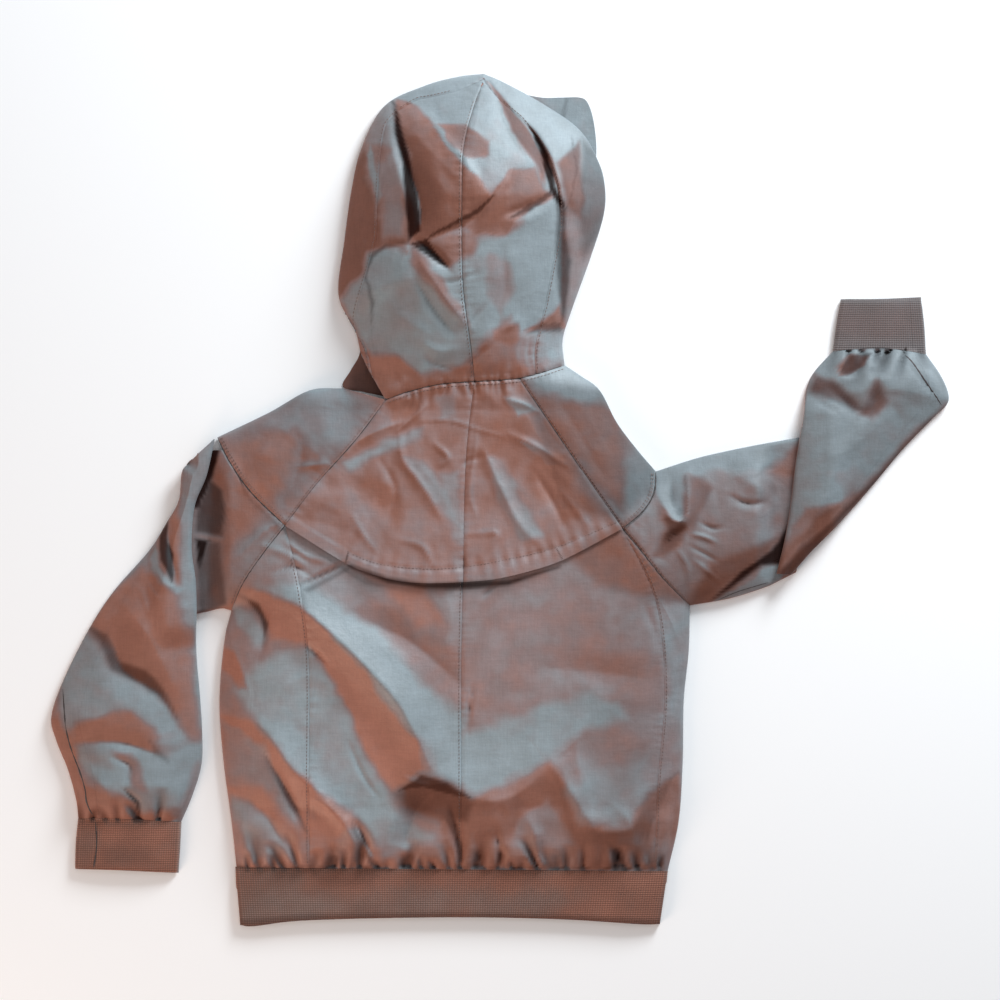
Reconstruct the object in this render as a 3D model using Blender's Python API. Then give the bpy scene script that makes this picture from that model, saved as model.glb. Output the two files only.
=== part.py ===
"""Child's hooded windbreaker lying face down, back up, every cut piece a cloth wall of its own.

Lengths are written in millimetres and become metres when a mesh is made.
X runs to the right and Y towards the hood; Z is up from the surface the jacket lies on.
"""

import math

import bmesh
import bpy
import numpy as np
from mathutils import Matrix

MM = 0.001
CLOTH = 1.5  # wall of the shell cloth
KNIT = 2.2  # wall of the rib knit
SEAM = 0.3  # distance between two pieces at a seam
LOOSE = 0.7  # the same where two pieces cross a curved seam with unlike points
FOLD = 3.5  # radius of a folded side
RIB_THICK = 10.0  # height of the hem band and of a cuff as they lie
RIB_PITCH = 2.4
RIB_RAISED = 0.45
GATHER_DEPTH = 2.4
YOKE_LIFT = 2.7  # how far the yoke lies above the panel it laps over
YOKE_EDGE_LIFT = 2.0  # more at its free hem
HOOD_CLEAR = 1.8  # hood sides lie on the hood's front edge
HOOD_STARTS = (88, 112)  # Y over which the hood is raised by that
LEAST_HEIGHT = 2 * FOLD + 0.6  # a flattened tube is never thinner
PILLOW_REACH = 30.0  # how far in from a fold the cloth still rises, for a thin stretch
PILLOW_SPREAD = 1.2  # and how much farther for each millimetre of height
ARM_HEIGHT = 23.0  # height of the sleeves beside the body
LEFT_SLEEVE_HEIGHT = 25.0
RIGHT_SLEEVE_HEIGHT = 23.0
LEFT_CUFF_Y = -319.0
RIGHT_CUFF_Y = 149.0
THINNING = 42.0  # length over which a sleeve thins towards its cuff
# Where each lower sleeve rises onto the end of the upper one: X and Y steps, away from it.
BENDS = {"left": (-352, -328, -150, -122), "right": (-352, -326, -112, -84)}
BEND_FLAT = 8.0  # height of a sleeve's end where the next stretch lies on it
BEND_LIFT = 8.8  # underside of the stretch that lies on it
SHIFT = np.array([-0.378, -0.378])  # brings the middle of the outline to the origin

# Seams and outlines, X and Y along each, from its first end to its last.
LINES = {
    "side_left": [(-263, -366), (-268, -320), (-276, -260), (-280, -200), (-275, -140), (-268, -110)],
    "underarm_left": [(-268, -110), (-278, -108), (-291, -111), (-305, -114), (-318, -117)],
    "raglan_left_low": [(-213, -25), (-235, -53), (-255, -82), (-268, -110)],
    "raglan_left": [(-113, 100), (-143, 60), (-181, 17), (-213, -25)],
    "shoulder_left": [(-157, 112), (-190, 110), (-230, 88), (-282, 63)],
    "yoke_seam_left": [(-282, 63), (-268, 37), (-247, 8), (-213, -25)],
    "yoke_seam_left_low": [(-275, 50), (-266, 34), (-247, 8), (-213, -25)],
    "bend_left": [(-286, 50), (-306, 20), (-316, -30), (-320, -75), (-318, -117)],
    "side_right": [(168, -370), (179, -320), (183, -260), (184, -200), (189, -150), (190, -105)],
    "underarm_right": [(190, -105), (230, -98), (265, -87), (280, -80), (296, -72)],
    "raglan_right_low": [(122, -28), (142, -52), (162, -77), (190, -105)],
    "raglan_right": [(20, 121), (60, 62), (92, 15), (122, -28)],
    "shoulder_right": [(65, 135), (80, 125), (100, 110), (117, 78), (138, 50), (156, 29)],
    "yoke_seam_right": [(156, 29), (154, 8), (142, -11), (122, -28)],
    "arm_top_right": [(156, 29), (200, 43), (250, 54), (300, 63), (320, 66)],
    "bend_right": [(320, 66), (312, 20), (304, -30), (296, -72)],
    "neck_left": [(-113, 100), (-90, 108), (-60, 115), (-25, 118)],
    "neck_middle": [(-25, 118), (-2, 119), (20, 121)],
    "neck_right": [(20, 121), (45, 128), (65, 135)],
    "neck_middle_back": [(20, 121), (-2, 119), (-25, 118)],
    "neck_edge_left": [(-157, 112), (-135, 106), (-113, 100)],
    "neck_edge_right": [(65, 135), (45, 128), (20, 121)],
    "neckline_left": [(-113, 100), (-100, 85), (-78, 71), (-46, 62)],
    "neckline_right": [(20, 121), (5, 94), (-14, 72), (-33, 62)],
    "yoke_hem_left": [(-213, -25), (-155, -61), (-130, -72), (-100, -80), (-70, -82), (-36, -81)],
    "yoke_hem_right": [(122, -28), (65, -58), (30, -70), (-5, -78), (-36, -81)],
    "panel_top_left": [(-213, -25), (-155, -45), (-110, -54), (-70, -58), (-36, -58)],
    "panel_top_right": [(122, -28), (65, -40), (20, -53), (-36, -58)],
    "side_seam_left": [(-189, -367), (-189, -260), (-189, -160), (-197, -90), (-213, -25)],
    "side_seam_right": [(154, -369.8), (157, -284), (164, -190), (155, -100), (122, -28)],
    "centre_seam": [(-38, -368), (-38, -260), (-38, -160), (-36, -58)],
    "centre_yoke": [(-25, 118), (-32, 60), (-35, 0), (-36, -81)],
    "hood_left": [(-139, 148), (-145, 172), (-161, 205), (-155, 260), (-148, 310), (-138, 352),
                  (-115, 394), (-75, 414), (-42, 423), (-19, 426)],
    "hood_right": [(65, 135), (63, 160), (72, 190), (90, 240), (104, 285), (105, 315), (98, 340),
                   (80, 370), (45, 395), (5, 417), (-13, 425)],
    "hood_spine": [(-25, 118), (-28, 150), (-36, 215), (-37, 300), (-35, 350), (-24, 395), (-17, 414)],
    "hood_corner": [(-114, 101), (-122, 115), (-132, 133), (-139, 148)],
    "sleeve_left_out": [(-310, 37), (-317, 28), (-320, 0), (-332, -22), (-350, -50), (-385, -90),
                        (-410, -128), (-436, -180), (-448, -216), (-443, -240), (-431, -270),
                        (-423, -300), (-421, -318)],
    "sleeve_left_in": [(-284, 61), (-292, 25), (-304, -6), (-307, -47), (-303, -80), (-302, -114),
                       (-303, -150), (-299, -200), (-297, -235), (-298, -265), (-307, -295), (-318, -321)],
    "sleeve_right_out": [(291, -74), (312, -50), (342, -20), (372, 14), (402, 50), (432, 81),
                         (447, 96), (448, 108), (440, 126), (426, 146)],
    "sleeve_right_in": [(276, -73), (284, -40), (290, -5), (294, 30), (299, 62), (303, 84), (306, 110),
                        (314, 128), (333, 149)],
    "cuff_left_seam": [(-421, -318), (-402, -317), (-370, -318), (-318, -321)],
    "cuff_left_edge": [(-424, -368), (-380, -369), (-321, -372)],
    "cuff_right_seam": [(333, 149), (380, 152), (426, 146)],
    "cuff_right_edge": [(341, 201), (380, 201), (421, 203)],
    "hem_seam": [(-264, -366), (-189, -367), (-38, -368), (168, -370)],
    "hem_edge": [(-259, -424), (-245, -425), (-190, -419), (-50, -416), (60, -418), (140, -423), (160, -423)],
    "rim_out": [(-41, 63), (-78, 72), (-100, 86), (-113, 102), (-135, 108), (-157, 113.5), (-149, 130),
                (-140, 147), (-141, 168),
                (-149, 205), (-145, 255), (-138, 300), (-130, 340), (-110, 378), (-70, 401), (-40, 409),
                (-12, 411), (15, 408), (42, 403), (62, 403), (80, 403), (88, 398), (94, 380), (97, 350),
                (94, 318), (93, 290), (80, 250), (63, 205), (53, 170), (58, 150), (64, 137), (42, 130.5),
                (19, 123), (5, 95), (-14, 73), (-37, 63)],
    "rim_in": [(-41, 104), (-58, 108), (-74, 117), (-88, 132), (-97, 150), (-102, 170), (-105, 195),
               (-106, 222), (-104, 250), (-100, 278), (-92, 305), (-80, 330), (-62, 347), (-42, 355),
               (-20, 357), (2, 353), (20, 343), (32, 330), (40, 315), (46, 298), (50, 280), (52, 262),
               (51, 242), (47, 222), (42, 200), (36, 180), (29, 160), (19, 142), (4, 122), (-16, 108),
               (-37, 104)],
    "zip": [(-79, -415), (-78, -366), (-60, -150), (-39, 62)],
}

# Where the hood's side seams run from the fold (0) to the centre seam (1), by share of the height.
LEFT_SEAM_SHARES = ([0, 0.12, 0.25, 0.42, 0.55, 0.68, 0.8, 1.0],
                    [0.2, 0.16, 0.24, 0.33, 0.26, 0.13, 0.14, 0.5])
RIGHT_SEAM_SHARES = ([0, 0.2, 0.5, 0.8, 1.0], [0.33, 0.3, 0.33, 0.34, 0.5])

# Height of the back over the surface, along Y.
HEIGHTS = [(-425, 10), (-366, 11), (-345, 19), (-300, 28), (-200, 33), (-100, 34), (0, 31), (90, 29),
           (125, 33), (160, 50), (220, 66), (300, 74), (370, 66), (426, 44)]

# Folds: spine, height over the ground cloth (below it when negative), width on its left and right side.
FOLDS = [
    {"spine": [(-250, -95), (-190, -140), (-120, -195), (-55, -255)], "rise": 17, "left": 42, "right": 46},
    {"spine": [(-275, -205), (-240, -260), (-205, -320), (-180, -356)], "rise": 12, "left": 32, "right": 30},
    {"spine": [(-258, -96), (-240, -112), (-231, -124)], "rise": -9, "left": 13, "right": 15},
    {"spine": [(-115, -142), (-75, -158), (-38, -180)], "rise": -6, "left": 22, "right": 22},
    {"spine": [(-60, -262), (-30, -290), (-12, -340)], "rise": -10, "left": 26, "right": 30},
    {"spine": [(-45, -205), (20, -228), (80, -232), (140, -215)], "rise": 13, "left": 40, "right": 52},
    {"spine": [(30, -262), (60, -285), (75, -330)], "rise": 8, "left": 30, "right": 30},
    {"spine": [(95, -356), (140, -315), (176, -272)], "rise": 9, "left": 24, "right": 24},
    {"spine": [(-150, -312), (-128, -340), (-118, -358)], "rise": -6, "left": 14, "right": 14},
    {"spine": [(-190, -145), (-180, -160), (-174, -166)], "rise": -5, "left": 12, "right": 12},
    {"spine": [(-140, 20), (-80, 35), (-10, 25)], "rise": 3, "left": 22, "right": 22},
    {"spine": [(-250, 60), (-225, 20), (-190, -20)], "rise": 4, "left": 20, "right": 26},
    {"spine": [(70, 90), (100, 40), (130, 0)], "rise": 4, "left": 20, "right": 20},
    {"spine": [(-285, 40), (-287, 0), (-288, -50)], "rise": -9, "left": 20, "right": 26},
    {"spine": [(170, 22), (172, -10), (160, -35)], "rise": -10, "left": 18, "right": 20},
    {"spine": [(186, 28), (184, -12), (176, -24)], "rise": 8, "left": 12, "right": 12},
    {"spine": [(230, 12), (255, -2), (272, -15)], "rise": -5, "left": 14, "right": 14},
    {"spine": [(214, -88), (245, -72), (275, -45)], "rise": -9, "left": 12, "right": 12},
    {"spine": [(-104, 398), (-88, 340), (-80, 270), (-95, 240)], "rise": -20, "left": 22, "right": 26},
    {"spine": [(-65, 350), (-60, 310), (-28, 285)], "rise": 8, "left": 20, "right": 22},
    {"spine": [(-55, 330), (-50, 290), (-60, 250)], "rise": -10, "left": 26, "right": 26},
    {"spine": [(-60, 215), (-25, 245), (0, 265), (60, 300)], "rise": -12, "left": 20, "right": 24},
    {"spine": [(28, 374), (45, 345), (55, 305), (62, 250), (66, 215)], "rise": -26, "left": 16, "right": 20},
    {"spine": [(0, 402), (15, 360), (36, 335)], "rise": -8, "left": 14, "right": 14},
    {"spine": [(30, 168), (45, 172), (60, 176)], "rise": -9, "left": 12, "right": 14},
    {"spine": [(-130, 205), (-120, 250), (-125, 300)], "rise": 6, "left": 18, "right": 18},
]

LOWER_LEFT_FOLDS = [
    {"spine": [(-335, -35), (-330, -65), (-322, -85)], "rise": -8, "left": 13, "right": 14},
    {"spine": [(-405, -140), (-375, -172), (-345, -205)], "rise": 6, "left": 24, "right": 24},
    {"spine": [(-410, -128), (-370, -190), (-308, -242)], "rise": -6, "left": 16, "right": 18},
    {"spine": [(-424, -246), (-380, -268), (-330, -262)], "rise": -5, "left": 14, "right": 14},
    {"spine": [(-372, -285), (-362, -303), (-358, -316)], "rise": -4, "left": 10, "right": 10},
]

LOWER_RIGHT_FOLDS = [
    {"spine": [(338, 118), (352, 132), (360, 144)], "rise": -9, "left": 12, "right": 12},
    {"spine": [(344, 118), (362, 130), (374, 147)], "rise": 5, "left": 8, "right": 9},
    {"spine": [(392, 147), (386, 130), (382, 112)], "rise": -4, "left": 9, "right": 9},
    {"spine": [(410, 136), (424, 115), (440, 94)], "rise": -4, "left": 9, "right": 9},
    {"spine": [(300, -40), (330, 10), (360, 60)], "rise": 5, "left": 20, "right": 22},
]

FINISHES = {
    "shell_cloth": ((0.40, 0.24, 0.20, 1.0), 0.42),
    "rib_knit": ((0.24, 0.13, 0.10, 1.0), 0.85),
    "zip_tape": ((0.16, 0.10, 0.08, 1.0), 0.7),
    "zip_metal": ((0.30, 0.27, 0.25, 1.0), 0.35),
}


# Curves: a smooth line through its points, read at shares of its length.

def smooth_line(points, per_span=14):
    """Points along a Catmull-Rom curve through the given ones."""
    p = np.asarray(points, float)
    p = np.vstack([2 * p[0] - p[1], p, 2 * p[-1] - p[-2]])
    t = np.linspace(0, 1, per_span, endpoint=False)[:, None]
    spans = []
    for a, b, c, d in zip(p[:-3], p[1:-2], p[2:-1], p[3:]):
        square = (2 * a - 5 * b + 4 * c - d) * t**2
        cube = (3 * b - a - 3 * c + d) * t**3
        spans.append(0.5 * (2 * b + (c - a) * t + square + cube))
    return np.vstack([*spans, p[-2:-1]])


DENSE = {name: smooth_line(points) for name, points in LINES.items()}
DENSE.update({"-" + name: line[::-1] for name, line in DENSE.items()})


def line_at(line, shares):
    """Places on a named line, or on a dense one, at shares 0..1 of its length."""
    dense = DENSE[line] if isinstance(line, str) else line
    run = np.concatenate([[0], np.cumsum(np.linalg.norm(np.diff(dense, axis=0), axis=1))])
    at = np.asarray(shares, float) * run[-1]
    return np.stack([np.interp(at, run, dense[:, k]) for k in (0, 1)], axis=-1)


def joined(*names):
    """Several named lines end to end; a name with a minus sign runs backwards."""
    return np.vstack([DENSE[name] for name in names])


def smooth_step(x, low, high):
    t = np.clip((x - low) / (high - low), 0, 1)
    return t * t * (3 - 2 * t)


def distance_to(x, y, line):
    """Distance of each place to a dense line, the share along it, and the side it is on."""
    a, b = line[:-1], line[1:]
    step = b - a
    length2 = np.maximum((step**2).sum(1), 1e-9)
    best = np.full(x.shape, 1e9)
    share = np.zeros(x.shape)
    side = np.ones(x.shape)
    run = np.concatenate([[0], np.cumsum(np.sqrt(length2))])
    for k in range(len(a)):
        dx, dy = x - a[k, 0], y - a[k, 1]
        t = np.clip((dx * step[k, 0] + dy * step[k, 1]) / length2[k], 0, 1)
        d = np.hypot(dx - t * step[k, 0], dy - t * step[k, 1])
        near = d < best
        best = np.where(near, d, best)
        share = np.where(near, (run[k] + t * (run[k + 1] - run[k])) / run[-1], share)
        side = np.where(near, np.sign(step[k, 0] * dy - step[k, 1] * dx), side)
    return best, share, side


def fold_heights(x, y, folds):
    """Sum of all folds: a squared cosine across each spine, fading out towards its ends."""
    z = np.zeros(np.shape(x))
    for f in folds:
        spine = smooth_line(f["spine"], 5)
        d, s, side = distance_to(x, y, spine)
        width = np.where(side > 0, f["left"], f["right"])
        across = np.cos(np.pi / 2 * np.minimum(d / width, 1)) ** 2
        z = z + f["rise"] * across * (0.35 + 0.65 * np.sin(np.pi * np.clip(s, 0, 1)))
    return z


# Layers: each stretch of flattened tube has fold lines at its sides, a top and an underside.

def edge_distance(x, y, sides):
    return np.min([distance_to(x, y, line)[0] for line in sides], axis=0)


def pillow(d, height):
    """Height over a side fold's middle: a round fold, then a rise that flattens out inwards."""
    fold = FOLD + FOLD * np.sqrt(1 - (1 - np.clip(d / FOLD, 0, 1)) ** 2)
    reach = PILLOW_REACH + PILLOW_SPREAD * height
    rise = 1 - (1 - np.clip(d / reach, 0, 1)) ** 2
    return fold + (height - 2 * FOLD) * rise


def under_pillow(d):
    return FOLD - FOLD * np.sqrt(1 - (1 - np.clip(d / FOLD, 0, 1)) ** 2)


MAIN_SIDES = [
    joined("side_left", "underarm_left"),
    np.vstack([DENSE["shoulder_left"][::-1], [(-149, 130)], DENSE["hood_left"], DENSE["hood_right"][::-1],
               DENSE["shoulder_right"], DENSE["arm_top_right"]]),
    joined("side_right", "underarm_right"),
    np.array([(-264, -366), (-260, -440)]),
    np.array([(168, -370), (161, -440)]),
]
LOWER_LEFT_SIDES = [
    np.vstack([DENSE["sleeve_left_out"], [(-426, -400)]]),
    np.vstack([DENSE["sleeve_left_in"], [(-323, -400)]]),
]
LOWER_RIGHT_SIDES = [
    np.vstack([DENSE["sleeve_right_out"], [(419, 240)]]),
    np.vstack([DENSE["sleeve_right_in"], [(347, 240)]]),
]


def main_height(x, y):
    at, height = np.array(HEIGHTS, float).T
    ground = np.interp(y, at, height)
    arm = np.maximum(smooth_step(-x, 215, 275), smooth_step(x, 150, 215)) * smooth_step(y, -125, -60)
    arm = arm * smooth_step(-y, -160, -110)
    ground = ground + (ARM_HEIGHT - ground) * arm
    flat = smooth_step(-y, 330, 366)
    full = ground + fold_heights(x, y, FOLDS) * (1 - flat) * (1 - smooth_step(y, 395, 425))
    end = np.maximum(smooth_step(-x, 266, 291), smooth_step(x, 254, 275)) * smooth_step(y, -135, -105)
    end = end * smooth_step(-y, -110, -90)
    return np.maximum(full + (BEND_FLAT - full) * end, LEAST_HEIGHT)


def main_top(x, y):
    top = pillow(edge_distance(x, y, MAIN_SIDES), main_height(x, y))
    return top + HOOD_CLEAR * smooth_step(y, *HOOD_STARTS)


def main_under(x, y):
    return under_pillow(edge_distance(x, y, MAIN_SIDES))


def hood_under(x, y):
    return main_under(x, y) + HOOD_CLEAR * smooth_step(y, *HOOD_STARTS)


def yoke_top(x, y):
    """The yoke rises over the panel it laps, and a little more at its free hem."""
    hem = joined("yoke_hem_left", "-yoke_hem_right")
    d, share, _ = distance_to(x, y, hem)
    free = smooth_step(share, 0.17, 0.3) * smooth_step(-share, -0.83, -0.7)
    lap = smooth_step(-d, -75, -40)
    return main_top(x, y) + YOKE_LIFT * lap + YOKE_EDGE_LIFT * free * smooth_step(-d, -30, 0)


def lower_left_lift(x, y):
    x_low, x_high, y_low, y_high = BENDS["left"]
    return BEND_LIFT * smooth_step(x, x_low, x_high) * smooth_step(y, y_low, y_high)


def lower_right_lift(x, y):
    x_low, x_high, y_low, y_high = BENDS["right"]
    return BEND_LIFT * smooth_step(-x, x_low, x_high) * smooth_step(-y, y_low, y_high)


def rib_flat(d_seam, height):
    """The sleeve thins to the cuff's thickness over its last stretch."""
    return height + (RIB_THICK + 1 - height) * smooth_step(-d_seam, -THINNING, 0)


def lower_left_top(x, y):
    d_seam = np.maximum(y - LEFT_CUFF_Y, 0)
    full = LEFT_SLEEVE_HEIGHT + fold_heights(x, y, LOWER_LEFT_FOLDS)
    height = np.maximum(rib_flat(d_seam, full), LEAST_HEIGHT)
    return pillow(edge_distance(x, y, LOWER_LEFT_SIDES), height) + lower_left_lift(x, y)


def lower_left_under(x, y):
    return under_pillow(edge_distance(x, y, LOWER_LEFT_SIDES)) + lower_left_lift(x, y)


def lower_right_top(x, y):
    d_seam = np.maximum(RIGHT_CUFF_Y - y, 0)
    full = RIGHT_SLEEVE_HEIGHT + fold_heights(x, y, LOWER_RIGHT_FOLDS)
    height = np.maximum(rib_flat(d_seam, full), LEAST_HEIGHT)
    return pillow(edge_distance(x, y, LOWER_RIGHT_SIDES), height) + lower_right_lift(x, y)


def lower_right_under(x, y):
    return under_pillow(edge_distance(x, y, LOWER_RIGHT_SIDES)) + lower_right_lift(x, y)


# Grids of places in plan, and the walls raised on them.

def patch(bottom, top, left, right, u, v):
    """Coons patch between four lines, at shares u across and v along (arrays of one shape)."""
    b, t = line_at(bottom, u), line_at(top, u)
    le, r = line_at(left, v), line_at(right, v)
    u, v = u[..., None], v[..., None]
    corners = (
        (1 - u) * (1 - v) * line_at(bottom, 0.0) + u * (1 - v) * line_at(bottom, 1.0)
        + (1 - u) * v * line_at(top, 0.0) + u * v * line_at(top, 1.0)
    )
    return (1 - v) * b + v * t + (1 - u) * le + u * r - corners


def grid_shares(u, v):
    """Shares of a grid: u is one row for all, or a row for each v."""
    u = np.asarray(u, float)
    if u.ndim == 1:
        u = np.repeat(u[None], len(v), axis=0)
    return u, np.repeat(np.asarray(v, float)[:, None], u.shape[1], axis=1)


def across(near, count, width, far=1.0):
    """Shares across from a fold at 0: close steps beside it, then even ones to the far seam."""
    steps = np.array(near, float)[None, :] / width[:, None]
    rest = np.linspace(0, 1, count + 1)[1:]
    return np.hstack([steps, steps[:, -1:] + (far - steps[:, -1:]) * rest[None, :]])


def gradient_normal(surface, xy, sign):
    """Outward direction of a height surface; sign is +1 on a top and -1 on an underside."""
    h = 0.15
    x, y = xy[..., 0], xy[..., 1]
    gx = (surface(x + h, y) - surface(x - h, y)) / (2 * h)
    gy = (surface(x, y + h) - surface(x, y - h)) / (2 * h)
    n = np.stack([-gx * sign, -gy * sign, np.full(gx.shape, float(sign))], axis=-1)
    return n / np.linalg.norm(n, axis=-1, keepdims=True)


def raised(xy, surface, sign):
    """Points of a grid on a height surface, and their outward directions."""
    z = surface(xy[..., 0], xy[..., 1])
    return np.concatenate([xy, z[..., None]], axis=-1), gradient_normal(surface, xy, sign)


def fold_line(xy, towards, under):
    """The outermost line of a fold: level with its middle, facing straight out."""
    z = under(xy[:, 0], xy[:, 1])
    along = np.gradient(xy, axis=0)
    n = np.stack([along[:, 1], -along[:, 0]], axis=-1)
    n = n / np.maximum(np.linalg.norm(n, axis=-1, keepdims=True), 1e-9)
    n = n * -np.sign((n * (towards - xy)).sum(-1, keepdims=True))
    return np.column_stack([xy, z])[:, None], np.column_stack([n, np.zeros(len(n))])[:, None]


def wrapped(top_xy, under_xy, top, under):
    """Rows that start on the underside, turn round the fold and end on the top.

    Column 0 of both grids is the fold itself.
    """
    tp, tn = raised(top_xy[:, 1:], top, 1)
    up, un = raised(under_xy[:, 1:], under, -1)
    fp, fn = fold_line(top_xy[:, 0], top_xy[:, 1], under)
    return np.concatenate([up[:, ::-1], fp, tp], axis=1), np.concatenate([un[:, ::-1], fn, tn], axis=1)


def pull_in(p, first=SEAM / 2, last=SEAM / 2, axis=1):
    """Moves a grid's first and last line inwards by half a seam's gap each."""
    p = np.moveaxis(p.copy(), axis, 0)
    for edge, inner, gap in ((0, 1, first), (-1, -2, last)):
        step = p[inner] - p[edge]
        p[edge] += step / np.maximum(np.linalg.norm(step, axis=-1, keepdims=True), 1e-9) * gap
    return np.moveaxis(p, 0, axis)


def run_of(row):
    """Share of a row's length at each of its points."""
    run = np.concatenate([[0], np.cumsum(np.linalg.norm(np.diff(row, axis=0), axis=1))])
    return run / run[-1]


def bridge(faces, a, b, at_a, at_b, flip=False):
    """Faces between two rows of vertex numbers, paired by their shares when the counts differ."""
    n, m = len(a) - 1, len(b) - 1
    if n == m:
        new = [(a[k], a[k + 1], b[k + 1], b[k]) for k in range(n)]
    else:
        new = []
        i = j = 0
        while i < n or j < m:
            if j == m or (i < n and at_a[i + 1] <= at_b[j + 1]):
                new.append((a[i], a[i + 1], b[j]))
                i += 1
            else:
                new.append((a[i], b[j + 1], b[j]))
                j += 1
    faces += [f[::-1] for f in new] if flip else new


def cloth_wall(name, finish, outer, inner, outer_at=None, inner_at=None):
    """A closed wall lofted through outer and inner rows of points, with rims all round."""
    rows = [*outer, *inner]
    at = [*(outer_at or [run_of(r) for r in outer]), *(inner_at or [run_of(r) for r in inner])]
    starts = np.cumsum([0] + [len(r) for r in rows])
    ids = [list(range(starts[k], starts[k + 1])) for k in range(len(rows))]
    half = len(outer)
    faces = []
    for k in range(half - 1):
        o, o2, i, i2 = k, k + 1, half + k, half + k + 1
        bridge(faces, ids[o], ids[o2], at[o], at[o2])
        bridge(faces, ids[i], ids[i2], at[i], at[i2], True)
        faces.append((ids[o][0], ids[o2][0], ids[i2][0], ids[i][0]))
        faces.append((ids[o][-1], ids[i][-1], ids[i2][-1], ids[o2][-1]))
    bridge(faces, ids[half], ids[0], at[half], at[0])
    bridge(faces, ids[half - 1], ids[-1], at[half - 1], at[-1])
    points = np.vstack(rows)
    points[:, :2] += SHIFT
    mesh = bpy.data.meshes.new(name)
    mesh.from_pydata((points * MM).tolist(), [], faces)
    bm = bmesh.new()
    bm.from_mesh(mesh)
    bmesh.ops.recalc_face_normals(bm, faces=bm.faces)
    bm.to_mesh(mesh)
    bm.free()
    mesh.shade_smooth()
    mesh.set_sharp_from_angle(angle=math.radians(50))
    mesh.materials.append(MATERIALS[finish])
    PARTS.objects.link(bpy.data.objects.new(name, mesh))


def sheet_wall(name, finish, p, n, thick=CLOTH):
    """A wall of even thickness on a grid of outer points and outward directions."""
    cloth_wall(name, finish, list(p), list(p - n * thick))


# Body.

BODY_ROWS = 15
BODY_LENGTH = 290.0  # hem seam to the top of the lower body, along its panels
YOKE_ROWS = 9
GATHER_ROWS = (0.0, 7.0, 16.0, 28.0)  # distances of the first rows from a gathered seam
GATHER_SHARES = (1.0, 0.7, 0.3)  # how much of the gathers' depth is left in each of them
NEAR = (0, 0.9, FOLD)  # columns beside a side fold, from its outermost line
UNDER_REACH = (*NEAR, 18, 36)  # columns of a side panel's underside, from the fold
ZIP_EDGE = 5.5  # from the middle of the zip to a front's edge
BAND_EDGE = 6.0  # the same to the ends of the hem band


def body_rows():
    """Shares along the lower body: close rows at the gathered hem seam, then even ones."""
    near = np.array(GATHER_ROWS) / BODY_LENGTH
    return np.concatenate([near, near[-1] + (1 - near[-1]) * np.linspace(0, 1, BODY_ROWS - 3)[1:]])


def gathers(p, share):
    """Lifts every other point of a fine row, unevenly, for cloth that is drawn up in waves."""
    p = p.copy()
    uneven = 0.72 + 0.28 * np.sin(p[:, 0] * 0.19) * np.cos(p[:, 0] * 0.043)
    p[:, 2] += GATHER_DEPTH * share * uneven * (np.arange(len(p)) % 2)
    return p


def gathered_wall(name, p, n, fine_places, keep):
    """Wall on a grid whose first rows have fine, gathered points from column keep onwards."""
    rows, turns, at = [], [], []
    for r in range(len(p)):
        row, turn = p[r], n[r]
        if r < len(GATHER_SHARES):
            fp, fn = raised(fine_places[r][None], main_top, 1)
            row = np.vstack([p[r, :keep], fp[0]])
            turn = np.vstack([n[r, :keep], fn[0]])
            at.append(run_of(row))
            row = np.vstack([row[:keep], gathers(row[keep:], GATHER_SHARES[r])])
        else:
            at.append(run_of(row))
        rows.append(row)
        turns.append(turn)
    cloth_wall(name, "shell_cloth", rows, [a - b * CLOTH for a, b in zip(rows, turns)], at, at)


def hem_between(first, last):
    """Stretch of the hem seam between the lower ends of two lines."""
    ends = [np.array(LINES[k][0], float) for k in (first, last)]
    x = np.linspace(ends[0][0], ends[1][0], 30)
    y = np.linspace(ends[0][1], ends[1][1], 30)
    return np.column_stack([x, y])


def back_panel(name, seam, top_line, columns, waves):
    """Lower back between a side seam and the centre seam, gathered at the hem."""
    v = body_rows()
    hem = hem_between(seam, "centre_seam")

    def places(u, rows):
        xy = patch(hem, top_line, seam, "centre_seam", *grid_shares(u, rows))
        return pull_in(xy, axis=1)

    xy = pull_in(places(np.linspace(0, 1, columns), v), last=0.0, axis=0)
    fine = places(np.linspace(0, 1, 2 * waves + 1), v[: len(GATHER_SHARES)])
    fine = pull_in(fine, last=0.0, axis=0)
    p, n = raised(xy, main_top, 1)
    gathered_wall(name, p, n, fine, 0)


def side_grid(side, seam, raglan, u):
    v = body_rows()
    hem = hem_between(side, seam)
    return patch(hem, "-" + raglan, side, seam, *grid_shares(u, v))


def side_under(side, seam, raglan):
    """Places of a side panel's underside: straight in from the fold, at its top along the raglan seam."""
    v = body_rows()
    edge = line_at(side, v)
    inward = line_at(seam, v) - edge
    width = np.linalg.norm(inward, axis=1, keepdims=True)
    reach = np.array(UNDER_REACH, float)
    plain = edge[:, None] + (inward / width)[:, None] * reach[None, :, None]
    shares = grid_shares(reach[None, :] / width, v)
    last = patch(hem_between(side, seam), "-" + raglan, side, seam, *shares)
    share = (v**8)[:, None, None]
    return plain * (1 - share) + last * share


def side_width(side, seam):
    v = body_rows()
    return np.linalg.norm(line_at(side, v) - line_at(seam, v), axis=1)


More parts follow.
